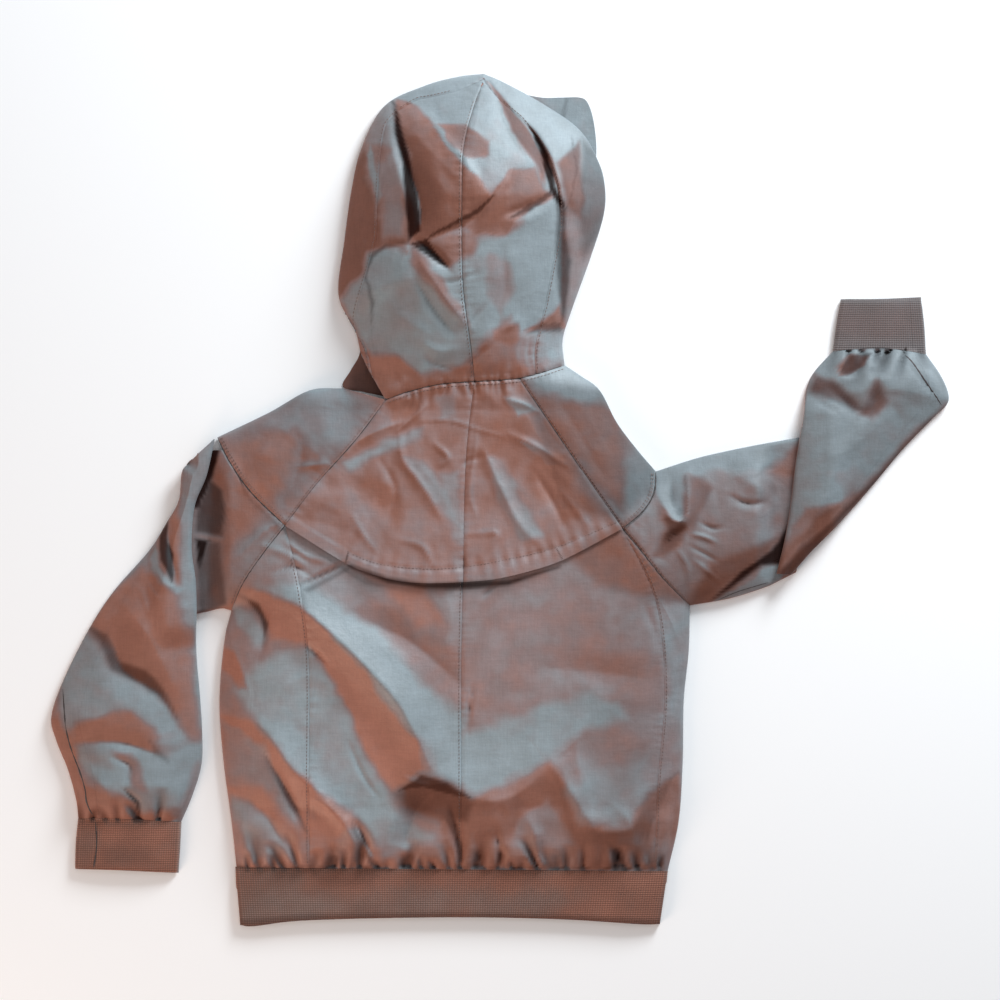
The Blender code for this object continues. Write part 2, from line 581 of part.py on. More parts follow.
def side_panel(name, side, seam, raglan, columns, waves):
    """Side panel from its seam on the back round the side fold to the underside."""
    width = side_width(side, seam)
    near = (*NEAR, 12)
    ut = across(near, columns, width)
    top_xy = side_grid(side, seam, raglan, ut)
    p, n = wrapped(top_xy, side_under(side, seam, raglan), main_top, main_under)
    p = pull_in(pull_in(p, axis=1), last=LOOSE, axis=0)
    keep = len(UNDER_REACH) - 1 + len(near)
    run = np.linspace(0, 1, 2 * waves + 1)[1:]
    fine = side_grid(side, seam, raglan, ut[:, 3:4] + (1 - ut[:, 3:4]) * run[None, :])
    fine = pull_in(pull_in(fine, first=0.0, axis=1), last=0.0, axis=0)
    gathered_wall(name, p, n, fine, keep)


def yoke_piece(name, raglan, neck, hem, columns):
    """One half of the yoke, from the neck seam to its free hem, raised over the lower back."""
    shares = grid_shares(np.linspace(0, 1, columns), np.linspace(0, 1, YOKE_ROWS))
    xy = patch(neck, hem, raglan, "centre_yoke", *shares)
    xy = pull_in(pull_in(xy, axis=1), last=0.0, axis=0)
    sheet_wall(name, "shell_cloth", *raised(xy, yoke_top, 1))


def flat_wall(name, finish, xy, thick=CLOTH):
    """A wall that lies flat on the surface."""
    zero = np.zeros(xy.shape[:-1] + (1,))
    cloth_wall(name, finish, list(np.concatenate([xy, zero + thick], axis=-1)),
               list(np.concatenate([xy, zero], axis=-1)))


def front_panel(name, side, seam, raglan_low, raglan, neck, zip_side):
    """A front, flat on the surface: side seam, raglan seam, neckline and zip edge."""
    edge = side_under(side, seam, raglan_low)[:, -1]
    low = DENSE["-" + raglan_low]
    low = low[np.linalg.norm(low - low[0], axis=1) > UNDER_REACH[-1] + 2]
    top = np.vstack([edge[-1:], low, DENSE["-" + raglan], DENSE[neck]])
    closing = DENSE["zip"][DENSE["zip"][:, 1] > LINES["hem_seam"][0][1]] + [zip_side * ZIP_EDGE, 0]
    closing = np.vstack([closing, top[-1:]])
    hem = np.vstack([edge[:1], closing[:1]])
    xy = patch(hem, top, edge, closing, *grid_shares(np.linspace(0, 1, 15), body_rows()[::2]))
    flat_wall(name, "shell_cloth", pull_in(pull_in(xy, 2 * LOOSE, 0.0, axis=1), SEAM, LOOSE, axis=0))


def hem_band():
    """Rib-knit band: one piece from the zip round both side folds and across the back."""
    v = np.array([0, 0.5, 1.0])
    left = np.array([LINES["hem_seam"][0], LINES["hem_edge"][0]], float)
    right = np.array([LINES["hem_seam"][-1], LINES["hem_edge"][-1]], float)
    width = np.linalg.norm(line_at(left, v) - line_at(right, v), axis=1)

    def places(u):
        return patch("hem_seam", "hem_edge", left, right, *grid_shares(u, v))

    near = np.array(NEAR) / width.mean()
    zip_at = (DENSE["zip"][0, 0] - left[1, 0]) / width[-1]
    zip_half = BAND_EDGE / width.mean()
    below_left = np.linspace(zip_at - zip_half, near[2], 4)
    below_right = np.linspace(1 - near[2], zip_at + zip_half, 6)

    def rows(n_top):
        u_top = np.concatenate([near[1:2], np.linspace(near[2], 1 - near[2], n_top + 1), 1 - near[1:2]])
        stretches = [
            raised(places(np.append(below_left, near[1])), main_under, -1),
            fold_line(places(np.zeros(1))[:, 0], places(np.array([0.1]))[:, 0], main_under),
            raised(places(u_top), main_top, 1),
            fold_line(places(np.ones(1))[:, 0], places(np.array([0.9]))[:, 0], main_under),
            raised(places(np.insert(below_right, 0, 1 - near[1])), main_under, -1),
        ]
        p = np.concatenate([s[0] for s in stretches], axis=1)
        return pull_in(p, SEAM / 2, 0.0, axis=0), np.concatenate([s[1] for s in stretches], axis=1)

    ribbed_wall("hem_rib", rows, len(below_left) + 3, int(round(width.mean() / RIB_PITCH)), 26)


def ribbed_wall(name, rows, start, ribs, plain, slit=0.0):
    """Knit wall whose outer top points stand up in ribs, over a plain inside."""
    p, n = rows(2 * ribs)
    at = [run_of(r) for r in p]
    behind = int(round(2 * ribs * slit))
    stretches = [slice(start, start + 2 * ribs - behind)]
    if behind:
        stretches.append(slice(p.shape[1] - behind, p.shape[1]))
    for top in stretches:
        count = top.stop - top.start
        p[:, top] += n[:, top] * RIB_RAISED * (np.arange(count) % 2)[None, :, None]
    q, m = rows(plain)
    cloth_wall(name, "rib_knit", list(p), list(q - m * KNIT), at, [run_of(r) for r in q])


# Sleeves.

def shoulder_piece(name, outline, raglan, neck_edge, yoke_seam, columns):
    """Upper sleeve from the raglan seam over the shoulder fold and back underneath."""
    v = np.linspace(0, 1, YOKE_ROWS)
    width = np.linalg.norm(line_at(outline, v) - line_at(raglan, v), axis=1)

    def places(near, count):
        return patch(neck_edge, yoke_seam, outline, raglan, *grid_shares(across(near, count, width), v))

    p, n = wrapped(places((*NEAR, 10), columns), places(NEAR, 5), main_top, main_under)
    sheet_wall(name, "shell_cloth", pull_in(pull_in(p, axis=1), LOOSE, LOOSE, axis=0), n)


LEFT_ARM_WIDTH = 190.0  # of the upper sleeve, across from its underarm fold


def upper_sleeve_left():
    """Sleeve below its yoke seam: round the underarm fold, its end under the lower sleeve."""
    near = joined("-raglan_left_low", "-yoke_seam_left_low")
    corner = np.array([LINES["bend_left"][0], LINES["yoke_seam_left_low"][0]], float)
    v = np.linspace(0, 1, 6)
    width = np.full(len(v), LEFT_ARM_WIDTH)

    def places(steps, count):
        shares = grid_shares(across(steps, count, width), v)
        return patch("-bend_left", near, "-underarm_left", corner, *shares)

    p, n = wrapped(places((*NEAR, 11), 10), places(NEAR, 6), main_top, main_under)
    sheet_wall("upper_sleeve_left", "shell_cloth", pull_in(p, 0.0, LOOSE, axis=0), n)


def tube_rows(left, right, first, last, v, top, under, slit, n_top, n_under):
    """Rows of a flattened tube: from a slit on its top round both folds and back to the slit."""
    width = np.linalg.norm(line_at(left, v) - line_at(right, v), axis=1)
    near = np.array(NEAR[1:])[None, :] / np.maximum(width, 3 * FOLD)[:, None]
    near, mid = near[:, :1], near[:, 1:]
    span = 1 - 2 * mid

    def places(u):
        return patch(first, last, left, right, *grid_shares(u, v))

    def fold(share, inner):
        ends = places(np.array([share, inner]))
        return fold_line(ends[:, 0], ends[:, 1], under)

    n_back = max(1, int(round(n_top * slit)))
    n_top = max(1, n_top - n_back)
    stretches = [
        raised(places(mid + span * np.linspace(slit, 1, n_top + 1)[None, :]), top, 1),
        raised(places(1 - near), top, 1),
        fold(1.0, 0.9),
        raised(places(1 - near), under, -1),
        raised(places(mid + span * np.linspace(1, 0, n_under + 1)[None, :]), under, -1),
        raised(places(near), under, -1),
        fold(0.0, 0.1),
        raised(places(near), top, 1),
        raised(places(mid + span * np.linspace(0, slit, n_back + 1)[None, :]), top, 1),
    ]
    p = np.concatenate([s[0] for s in stretches], axis=1)
    return pull_in(p, axis=1), np.concatenate([s[1] for s in stretches], axis=1)


def straight(a, b):
    return np.array([a, b], float)


RAGLAN_COLUMN = 0.8656  # seam share at which a column meets the corner of raglan and yoke seam


def upper_sleeve_right():
    """Sleeve from its yoke seam and lower raglan seam to the elbow, all round."""
    near = joined("yoke_seam_right", "raglan_right_low")
    v = np.linspace(0, 1, 9)
    p, n = tube_rows("arm_top_right", "underarm_right", near, "bend_right", v, main_top, main_under,
                     RAGLAN_COLUMN, 10, 13)
    sheet_wall("upper_sleeve_right", "shell_cloth", pull_in(p, LOOSE, 0.0, axis=0), n)


def lower_sleeve(name, out, inn, cuff_seam, top, under, rows, slit, flip=False):
    """Sleeve from the bend to the cuff, all round."""
    left, right = (inn, out) if flip else (out, inn)
    first = straight(LINES[left][0], LINES[right][0])
    v = np.concatenate([np.linspace(0, 0.93, rows - 2), [0.965, 1.0]])
    p, n = tube_rows(left, right, first, cuff_seam, v, top, under, slit, 10, 6)
    sheet_wall(name, "shell_cloth", pull_in(p, 0.0, SEAM / 2, axis=0), n)


def cuff(name, seam, edge, top, under, slit):
    """Rib-knit cuff: a flattened tube with its seam open by a hair."""
    v = np.array([0, 0.5, 1.0])
    left = straight(LINES[seam][0], LINES[edge][0])
    right = straight(LINES[seam][-1], LINES[edge][-1])
    length = np.linalg.norm(np.array(LINES[seam][0], float) - LINES[seam][-1])

    def rows(n_top):
        p, n = tube_rows(left, right, seam, edge, v, top, under, slit, n_top, 5)
        return pull_in(p, SEAM / 2, 0.0, axis=0), n

    ribbed_wall(name, rows, 0, int(round(length / RIB_PITCH)), 9, slit)


# Hood.

HOOD_ROWS = np.concatenate([np.linspace(0, 0.9, 14), [0.955, 1.0]])
HOOD_UNDER = (*NEAR, 22)  # columns of a hood side's underside, from the fold


def hood_pieces(side, outline, seam_share, columns, side_columns):
    """Side and centre panel of one half: from the underside round the fold to the centre seam.

    seam_share gives, row by row, where the panels' seam runs between the fold and the spine.
    """
    v = HOOD_ROWS
    crown = straight(LINES[outline][-1], LINES["hood_spine"][-1])
    if side == "left":
        neck = np.vstack([DENSE["hood_corner"][::-1], DENSE["neck_left"][1:]])
    else:
        neck = np.vstack([DENSE["-neck_right"], DENSE["-neck_middle"][1:]])
    width = np.linalg.norm(line_at(outline, v) - line_at("hood_spine", v), axis=1)
    at = np.interp(v, *seam_share)

    def places(u):
        return patch(neck, crown, outline, "hood_spine", *grid_shares(u, v))

    near = np.array(NEAR)[None, :] / np.maximum(width, 3.2 * FOLD)[:, None]
    to_seam = np.linspace(0, 1, side_columns + 1)[None, 1:]
    top_u = np.hstack([near, near[:, -1:] + (at[:, None] - near[:, -1:]) * to_seam])
    under_u = np.array(HOOD_UNDER)[None, :] / np.maximum(width, 1.6 * HOOD_UNDER[-1])[:, None]
    p, n = wrapped(places(top_u), places(under_u), main_top, hood_under)
    p = pull_in(pull_in(p, 0.0, axis=1), 2 * SEAM, 0.0, axis=0)
    sheet_wall(f"hood_side_{side}", "shell_cloth", p, n)
    u = at[:, None] + (1 - at[:, None]) * np.linspace(0, 1, columns)[None, :]
    p, n = raised(places(u), main_top, 1)
    p = pull_in(pull_in(p, axis=1), 2 * SEAM, 0.0, axis=0)
    sheet_wall(f"hood_centre_{side}", "shell_cloth", p, n)


def hood_rim():
    """Hood front round the face opening, flat underneath, open at the zip."""
    v = np.linspace(0, 1, 56)
    u = np.linspace(0, 1, 3)
    sides = [line_at(k, v) for k in ("rim_in", "rim_out")]
    xy = sides[0][:, None] * (1 - u)[None, :, None] + sides[1][:, None] * u[None, :, None]
    flat_wall("hood_rim", "shell_cloth", pull_in(xy, 0.0, SEAM, axis=1))


# Zip, under the jacket.

ZIP_WIDE = 10.0
SLIDER = {"low": 22.3, "aside": 1.5, "wide": 8.4, "narrower": 0.8, "long": 12.0, "high": 3.6}
TAB = {"shoulder": 0.4, "long": 24.0, "high": 1.5}


def zip_pieces():
    """Closed chain between the fronts, and its slider with the tab lying along it."""
    end = SLIDER["low"] - SEAM
    line = DENSE["zip"][DENSE["zip"][:, 1] < end]
    line = np.vstack([line, [(np.interp(end, *DENSE["zip"].T[::-1]), end)]])
    line = line_at(line, np.linspace(0, 1, 12))
    half = np.array([ZIP_WIDE / 2, 0])
    flat_wall("zip_tape", "zip_tape", np.stack([line - half, line, line + half], axis=1))
    x = np.interp(SLIDER["low"], *DENSE["zip"].T[::-1])
    bm = bmesh.new()
    bmesh.ops.create_cube(bm, size=1.0)
    for vert in bm.verts:
        narrower = 1.0 if vert.co.y < 0 else SLIDER["narrower"]
        vert.co.x = (x + SLIDER["aside"] + vert.co.x * SLIDER["wide"] * narrower) * MM
        vert.co.y = (SLIDER["low"] + (vert.co.y + 0.5) * SLIDER["long"]) * MM
        vert.co.z = (vert.co.z + 0.5) * SLIDER["high"] * MM
    end = [f for f in bm.faces if all(v.co.y > (SLIDER["low"] + 1) * MM for v in f.verts)][0]
    bmesh.ops.inset_region(bm, faces=[end], thickness=TAB["shoulder"] * MM)
    out = bmesh.ops.extrude_face_region(bm, geom=[end])
    moved = [g for g in out["geom"] if isinstance(g, bmesh.types.BMVert)]
    for vert in moved:
        vert.co.y += TAB["long"] * MM
        vert.co.z = min(vert.co.z, TAB["high"] * MM)
    bmesh.ops.delete(bm, geom=[end], context="FACES_ONLY")
    bmesh.ops.recalc_face_normals(bm, faces=bm.faces)
    mesh = bpy.data.meshes.new("zip_slider")
    bm.to_mesh(mesh)
    bm.free()
    mesh.transform(Matrix.Translation((SHIFT[0] * MM, SHIFT[1] * MM, 0)))
    mesh.materials.append(MATERIALS["zip_metal"])
    PARTS.objects.link(bpy.data.objects.new("zip_slider", mesh))


# Model.

def make_material(name, colour, roughness):
    material = bpy.data.materials.new(name)
    material.use_nodes = True
    shader = material.node_tree.nodes["Principled BSDF"]
    shader.inputs["Base Color"].default_value = colour
    shader.inputs["Roughness"].default_value = roughness
    shader.inputs["Metallic"].default_value = 0.0
    return material


for old in list(bpy.data.objects):
    bpy.data.objects.remove(old, do_unlink=True)
PARTS = bpy.data.collections.new("windbreaker_jacket")
bpy.context.scene.collection.children.link(PARTS)
MATERIALS = {name: make_material(name, *look) for name, look in FINISHES.items()}

back_panel("back_panel_left", "side_seam_left", "panel_top_left", 9, 16)
back_panel("back_panel_right", "side_seam_right", "panel_top_right", 11, 20)
side_panel("side_panel_left", "side_left", "side_seam_left", "raglan_left_low", 4, 7)
side_panel("side_panel_right", "side_right", "side_seam_right", "raglan_right_low", 2, 2)
yoke_piece("back_yoke_left", "raglan_left", "neck_left", "yoke_hem_left", 9)
yoke_piece("back_yoke_right", "raglan_right", "neck_middle_back", "yoke_hem_right", 8)
front_panel("front_left", "side_left", "side_seam_left", "raglan_left_low", "raglan_left",
            "neckline_left", -1)
front_panel("front_right", "side_right", "side_seam_right", "raglan_right_low", "raglan_right",
            "neckline_right", 1)
hem_band()
shoulder_piece("shoulder_left", "shoulder_left", "raglan_left", "neck_edge_left", "yoke_seam_left", 6)
shoulder_piece("shoulder_right", "shoulder_right", "raglan_right", "neck_edge_right",
               "yoke_seam_right", 5)
upper_sleeve_left()
upper_sleeve_right()
lower_sleeve("lower_sleeve_left", "sleeve_left_out", "sleeve_left_in", "cuff_left_seam",
             lower_left_top, lower_left_under, 17, 0.18)
lower_sleeve("lower_sleeve_right", "sleeve_right_out", "sleeve_right_in", "cuff_right_seam",
             lower_right_top, lower_right_under, 13, 0.88, flip=True)
cuff("cuff_left", "cuff_left_seam", "cuff_left_edge", lower_left_top, lower_left_under, 0.18)
cuff("cuff_right", "cuff_right_seam", "cuff_right_edge", lower_right_top, lower_right_under, 0.88)
hood_pieces("left", "hood_left", LEFT_SEAM_SHARES, 7, 3)
hood_pieces("right", "hood_right", RIGHT_SEAM_SHARES, 7, 3)
hood_rim()
zip_pieces()
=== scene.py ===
import math

import bpy
import numpy as np
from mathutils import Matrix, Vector


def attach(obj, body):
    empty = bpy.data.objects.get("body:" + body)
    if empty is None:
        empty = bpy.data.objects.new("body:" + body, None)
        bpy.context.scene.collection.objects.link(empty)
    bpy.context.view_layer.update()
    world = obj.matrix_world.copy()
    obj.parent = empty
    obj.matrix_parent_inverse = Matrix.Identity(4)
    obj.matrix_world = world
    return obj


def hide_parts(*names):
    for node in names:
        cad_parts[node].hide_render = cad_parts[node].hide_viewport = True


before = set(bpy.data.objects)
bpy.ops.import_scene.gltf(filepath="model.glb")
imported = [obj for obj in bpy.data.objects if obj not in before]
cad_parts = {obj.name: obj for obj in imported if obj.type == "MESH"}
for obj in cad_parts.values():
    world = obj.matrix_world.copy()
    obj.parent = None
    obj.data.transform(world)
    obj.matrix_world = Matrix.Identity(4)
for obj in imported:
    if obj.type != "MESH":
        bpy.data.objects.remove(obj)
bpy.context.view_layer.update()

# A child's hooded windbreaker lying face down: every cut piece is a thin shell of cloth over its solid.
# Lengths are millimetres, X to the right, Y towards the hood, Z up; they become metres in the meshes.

mm = 0.001
shift = np.array([-0.378, -0.378])  # brings the middle of the outline to the origin

cloth = {
    "thick": 0.9,        # shell cloth with its seam allowances
    "knit": 1.6,         # rib knit, doubled
    "foldRound": 3.5,    # radius of a folded side
    "cell": 2.3,         # spacing of the points on a cloth top
    "underCell": 5.0,    # the same on the side it lies on
    "seamGap": 0.06,
    "ribThick": 10.0,    # height of the hem band and the cuffs as they lie
    "ribPitch": 2.4,
    "bendFlat": 8.0,     # height of a sleeve's end where the next stretch lies on it
    "bendLift": 8.8,     # underside of the stretch that lies on it
    "hoodClear": 1.8,    # hood sides lie on the hood's front edge
    "yokeLift": 3.2,     # yoke over the panel it laps
    "yokeEdge": 2.6,     # more at its free hem
    "least": 3.6,        # least height of any top
}
leastFull = 2 * cloth["foldRound"] + 0.6  # least height of cloth with room inside

# Seams and outlines in plan.
seamLines = {
    "sideLeft": [(-263, -366), (-268, -320), (-276, -260), (-280, -200), (-275, -140), (-268, -110)],
    "underarmLeft": [(-268, -110), (-278, -108), (-291, -111), (-305, -114), (-318, -117)],
    "raglanLeftLow": [(-213, -25), (-235, -53), (-255, -82), (-268, -110)],
    "raglanLeft": [(-113, 100), (-143, 60), (-181, 17), (-213, -25)],
    "shoulderLeft": [(-157, 112), (-190, 110), (-230, 88), (-282, 63)],
    "yokeSeamLeft": [(-282, 63), (-268, 37), (-247, 8), (-213, -25)],
    "yokeSeamLeftLow": [(-275, 50), (-266, 34), (-247, 8), (-213, -25)],
    "bendLeft": [(-286, 50), (-306, 20), (-316, -30), (-320, -75), (-318, -117)],
    "sideRight": [(168, -370), (179, -320), (183, -260), (184, -200), (189, -150), (190, -105)],
    "underarmRight": [(190, -105), (230, -98), (265, -87), (280, -80), (296, -72)],
    "raglanRightLow": [(122, -28), (142, -52), (162, -77), (190, -105)],
    "raglanRight": [(20, 121), (60, 62), (92, 15), (122, -28)],
    "shoulderRight": [(65, 135), (80, 125), (100, 110), (117, 78), (138, 50), (156, 29)],
    "yokeSeamRight": [(156, 29), (154, 8), (142, -11), (122, -28)],
    "armTopRight": [(156, 29), (200, 43), (250, 54), (300, 63), (320, 66)],
    "bendRight": [(320, 66), (312, 20), (304, -30), (296, -72)],
    "neckLeft": [(-113, 100), (-90, 108), (-60, 115), (-25, 118)],
    "neckMiddle": [(-25, 118), (-2, 119), (20, 121)],
    "neckRight": [(20, 121), (45, 128), (65, 135)],
    "necklineLeft": [(-113, 100), (-100, 85), (-78, 71), (-46, 62)],
    "necklineRight": [(20, 121), (5, 94), (-14, 72), (-33, 62)],
    "yokeHemLeft": [(-213, -25), (-155, -61), (-130, -72), (-100, -80), (-70, -82), (-36, -81)],
    "yokeHemRight": [(122, -28), (65, -58), (30, -70), (-5, -78), (-36, -81)],
    "panelTopLeft": [(-213, -25), (-155, -45), (-110, -54), (-70, -58), (-36, -58)],
    "panelTopRight": [(122, -28), (65, -40), (20, -53), (-36, -58)],
    "sideSeamLeft": [(-189, -367), (-189, -260), (-189, -160), (-197, -90), (-213, -25)],
    "sideSeamRight": [(154, -369.8), (157, -284), (164, -190), (155, -100), (122, -28)],
    "centreSeam": [(-38, -368), (-38, -260), (-38, -160), (-36, -58)],
    "centreYoke": [(-25, 118), (-32, 60), (-35, 0), (-36, -81)],
    "hoodLeft": [(-139, 148), (-145, 172), (-161, 205), (-155, 260), (-148, 310), (-138, 352), (-115, 394),
        (-75, 414), (-42, 423), (-16, 426)],
    "hoodRight": [(65, 135), (63, 160), (72, 190), (90, 240), (104, 285), (105, 315), (98, 340), (80, 370), (45, 395),
        (5, 417), (-16, 426)],
    "hoodSpine": [(-25, 118), (-28, 150), (-36, 215), (-37, 300), (-35, 350), (-24, 395), (-17, 414)],
    "hoodCorner": [(-114, 101), (-122, 115), (-132, 133), (-139, 148)],
    "sleeveLeftOut": [(-310, 37), (-317, 28), (-320, 0), (-332, -22), (-350, -50), (-385, -90), (-410, -128),
        (-436, -180), (-448, -216), (-443, -240), (-431, -270), (-423, -300), (-421, -318)],
    "sleeveLeftIn": [(-284, 61), (-292, 25), (-304, -6), (-307, -47), (-303, -80), (-302, -114), (-303, -150),
        (-299, -200), (-297, -235), (-298, -265), (-307, -295), (-318, -321)],
    "sleeveRightOut": [(291, -74), (312, -50), (342, -20), (372, 14), (402, 50), (432, 81), (447, 96), (448, 108),
        (440, 126), (426, 146)],
    "sleeveRightIn": [(276, -73), (284, -40), (290, -5), (294, 30), (299, 62), (303, 84), (306, 110), (314, 128),
        (333, 149)],
    "cuffLeftSeam": [(-421, -318), (-402, -317), (-370, -318), (-318, -321)],
    "cuffLeftEdge": [(-424, -368), (-380, -369), (-321, -372)],
    "cuffRightSeam": [(333, 149), (380, 152), (426, 146)],
    "cuffRightEdge": [(341, 201), (380, 201), (421, 203)],
    "hemSeam": [(-264, -366), (-189, -367), (-38, -368), (168, -370)],
    "hemEdge": [(-259, -424), (-245, -425), (-190, -419), (-50, -416), (60, -418), (140, -423), (160, -423)],
    "rimOut": [(-41, 63), (-78, 72), (-100, 86), (-113, 102), (-135, 108), (-157, 113.5), (-149, 130), (-140, 147),
        (-141, 168), (-149, 205), (-145, 255), (-138, 300), (-130, 340), (-110, 378), (-70, 401), (-40, 409),
        (-12, 411), (15, 408), (42, 403), (62, 403), (80, 403), (88, 398), (94, 380), (97, 350), (94, 318), (93, 290),
        (80, 250), (63, 205), (53, 170), (58, 150), (64, 137), (42, 130.5), (19, 123), (5, 95), (-14, 73), (-37, 63)],
    "rimIn": [(-41, 104), (-58, 108), (-74, 117), (-88, 132), (-97, 150), (-102, 170), (-105, 195), (-106, 222),
        (-104, 250), (-100, 278), (-92, 305), (-80, 330), (-62, 347), (-42, 355), (-20, 357), (2, 353), (20, 343),
        (32, 330), (40, 315), (46, 298), (50, 280), (52, 262), (51, 242), (47, 222), (42, 200), (36, 180), (29, 160),
        (19, 142), (4, 122), (-16, 108), (-37, 104)],
    "zip": [(-79, -415), (-78, -366), (-60, -150), (-39, 62)],
}

# Where the hood's side seams run from the fold (0) to the centre seam (1), by share of the height.
leftSeamShares = ([0, 0.12, 0.25, 0.42, 0.55, 0.68, 0.8, 1.0], [0.2, 0.16, 0.24, 0.33, 0.26, 0.13, 0.14, 0.5])
rightSeamShares = ([0, 0.2, 0.5, 0.8, 1.0], [0.33, 0.3, 0.33, 0.34, 0.5])

# Height of the back over the surface, along Y.
heights = [(-425, 10), (-366, 11), (-345, 19), (-300, 28), (-200, 33), (-100, 34), (0, 31), (90, 29),
           (125, 33), (160, 50), (220, 66), (300, 74), (370, 66), (426, 44)]

# Rows as creaseRelief reads them: rise, width left of the run, width right, sharpness, spine.
bodyCreases = [
    (17, 50, 46, 0.75, [(-262, -88), (-228, -94), (-195, -108), (-157, -140), (-121, -176),
        (-96, -207), (-68, -266)]),
    (11, 34, 30, 0.8, [(-281, -208), (-239, -223), (-204, -268), (-179, -290), (-160, -318)]),
    (-6, 12, 9, 0.95, [(-233, -252), (-214, -284), (-195, -322)]),
    (-5, 18, 18, 0.7, [(-268, -290), (-236, -310), (-211, -348)]),
    (-5, 12, 6, 0.95, [(-144, -319), (-133, -340), (-121, -363)]),
    (5, 14, 16, 0.8, [(-190, -292), (-160, -312), (-142, -345)]),
    (10, 58, 34, 0.8, [(-70, -276), (-55, -281), (-26, -297), (12, -294), (51, -262)]),
    (9, 44, 30, 0.8, [(48, -260), (67, -284), (95, -329)]),
    (8, 32, 22, 0.95, [(95, -329), (130, -326), (153, -297), (178, -271)]),
    (5, 13, 15, 0.8, [(28, -316), (36, -335), (38, -360)]),
    (-5, 7, 8, 0.95, [(-3, -329), (3, -362)]),
    (-8, 16, 12, 0.9, [(-48, -303), (-43, -330), (-39, -362)]),
    (-10, 24, 22, 0.6, [(-66, -290), (-84, -312), (-96, -346)]),
    (6, 12, 16, 0.9, [(-55, -281), (-72, -284), (-96, -276)]),
    (-3, 4, 6, 0.95, [(-26, -185), (-30, -207), (-32, -232)]),
    (-4, 5, 8, 0.95, [(-201, -86), (-178, -75), (-155, -62)]),
    (-3, 4, 6, 0.95, [(-3, -82), (-10, -89), (-17, -96)]),
    (-5, 26, 20, 0.7, [(-134, -118), (-83, -144), (-35, -186)]),
    (3, 22, 22, 0.6, [(-52, -95), (-48, -120), (-55, -152)]),
    (-9, 7, 22, 0.9, [(-262, -102), (-243, -105), (-233, -119), (-236, -150)]),
    (4, 6, 16, 0.95, [(-268, -140), (-258, -165), (-249, -190)]),
    (-4, 6, 9, 0.95, [(-192, -144), (-180, -153), (-172, -161)]),
    (3, 6, 9, 0.95, [(160, -100), (175, -130), (185, -163)]),
    (-3, 8, 9, 0.95, [(145, -105), (158, -140), (168, -174)]),
    (-4, 26, 26, 0.5, [(40, -165), (90, -170), (150, -178)]),
    (2, 12, 14, 0.7, [(75, -230), (78, -262), (84, -290)]),
    (-2, 5, 6, 0.95, [(-150, -240), (-136, -272), (-120, -296)]),
    (2, 18, 18, 0.6, [(-225, -190), (-185, -175), (-150, -200)]),
    (3, 14, 14, 0.7, [(110, -300), (128, -318), (136, -346)]),
]

yokeCreases = [
    (1.5, 3, 3, 0.95, [(-77, 80), (-48, 79), (-23, 71), (6, 63)]),
    (4, 14, 10, 0.8, [(-157, 40), (-144, 56), (-121, 69), (-93, 79)]),
    (3, 8, 14, 0.9, [(-99, 66), (-96, 40), (-77, 15), (-58, -17)]),
    (2.5, 6, 7, 0.95, [(-64, 56), (-51, 43), (-58, 34)]),
    (1.8, 5, 9, 0.9, [(-23, 63), (-29, 8), (-23, -17)]),
    (3.5, 12, 12, 0.8, [(-16, 50), (0, 15), (19, -23), (38, -43)]),
    (3, 8, 8, 0.9, [(6, 101), (25, 95), (38, 88)]),
    (3, 7, 10, 0.9, [(9, 66), (38, 53), (67, 34)]),
    (2, 7, 9, 0.9, [(-147, -14), (-134, -36), (-121, -52)]),
    (2, 7, 7, 0.9, [(-99, -39), (-77, -46), (-64, -68)]),
    (1.8, 7, 7, 0.9, [(-13, -52), (-3, -33), (-29, -33)]),
    (-2, 8, 8, 0.9, [(-118, 40), (-104, 12), (-110, -18)]),
    (2, 10, 8, 0.9, [(60, 10), (78, -12), (92, -30)]),
    (-2.5, 9, 9, 0.8, [(34, 30), (52, 0), (64, -26)]),
    (2, 6, 8, 0.95, [(-70, 96), (-84, 84), (-104, 66)]),
    (-1.6, 6, 6, 0.95, [(-44, 28), (-30, 40), (-8, 44)]),
]

shoulderCreases = [
    (1.2, 2, 2.5, 0.95, [(-182, 95), (-160, 91)]),
    (2.5, 10, 10, 0.9, [(-220, 72), (-232, 56), (-243, 40)]),
    (2, 8, 8, 0.9, [(-201, 33), (-172, 36)]),
    (-2.5, 12, 12, 0.8, [(-205, 70), (-196, 50), (-206, 14)]),
    (3, 8, 10, 0.9, [(-262, -59), (-236, -33), (-217, -20)]),
    (2.5, 7, 9, 0.95, [(-236, -45), (-215, -52), (-195, -62)]),
    (-2.5, 7, 7, 0.95, [(-226, -72), (-206, -66), (-188, -74)]),
    (2, 6, 6, 0.95, [(-214, -40), (-190, -56), (-172, -60)]),
    (1.2, 2, 3, 0.95, [(111, 69), (76, 63)]),
    (2.5, 10, 12, 0.8, [(72, 104), (92, 76), (112, 40)]),
    (-2, 10, 10, 0.8, [(56, 104), (84, 58), (106, 20)]),
]

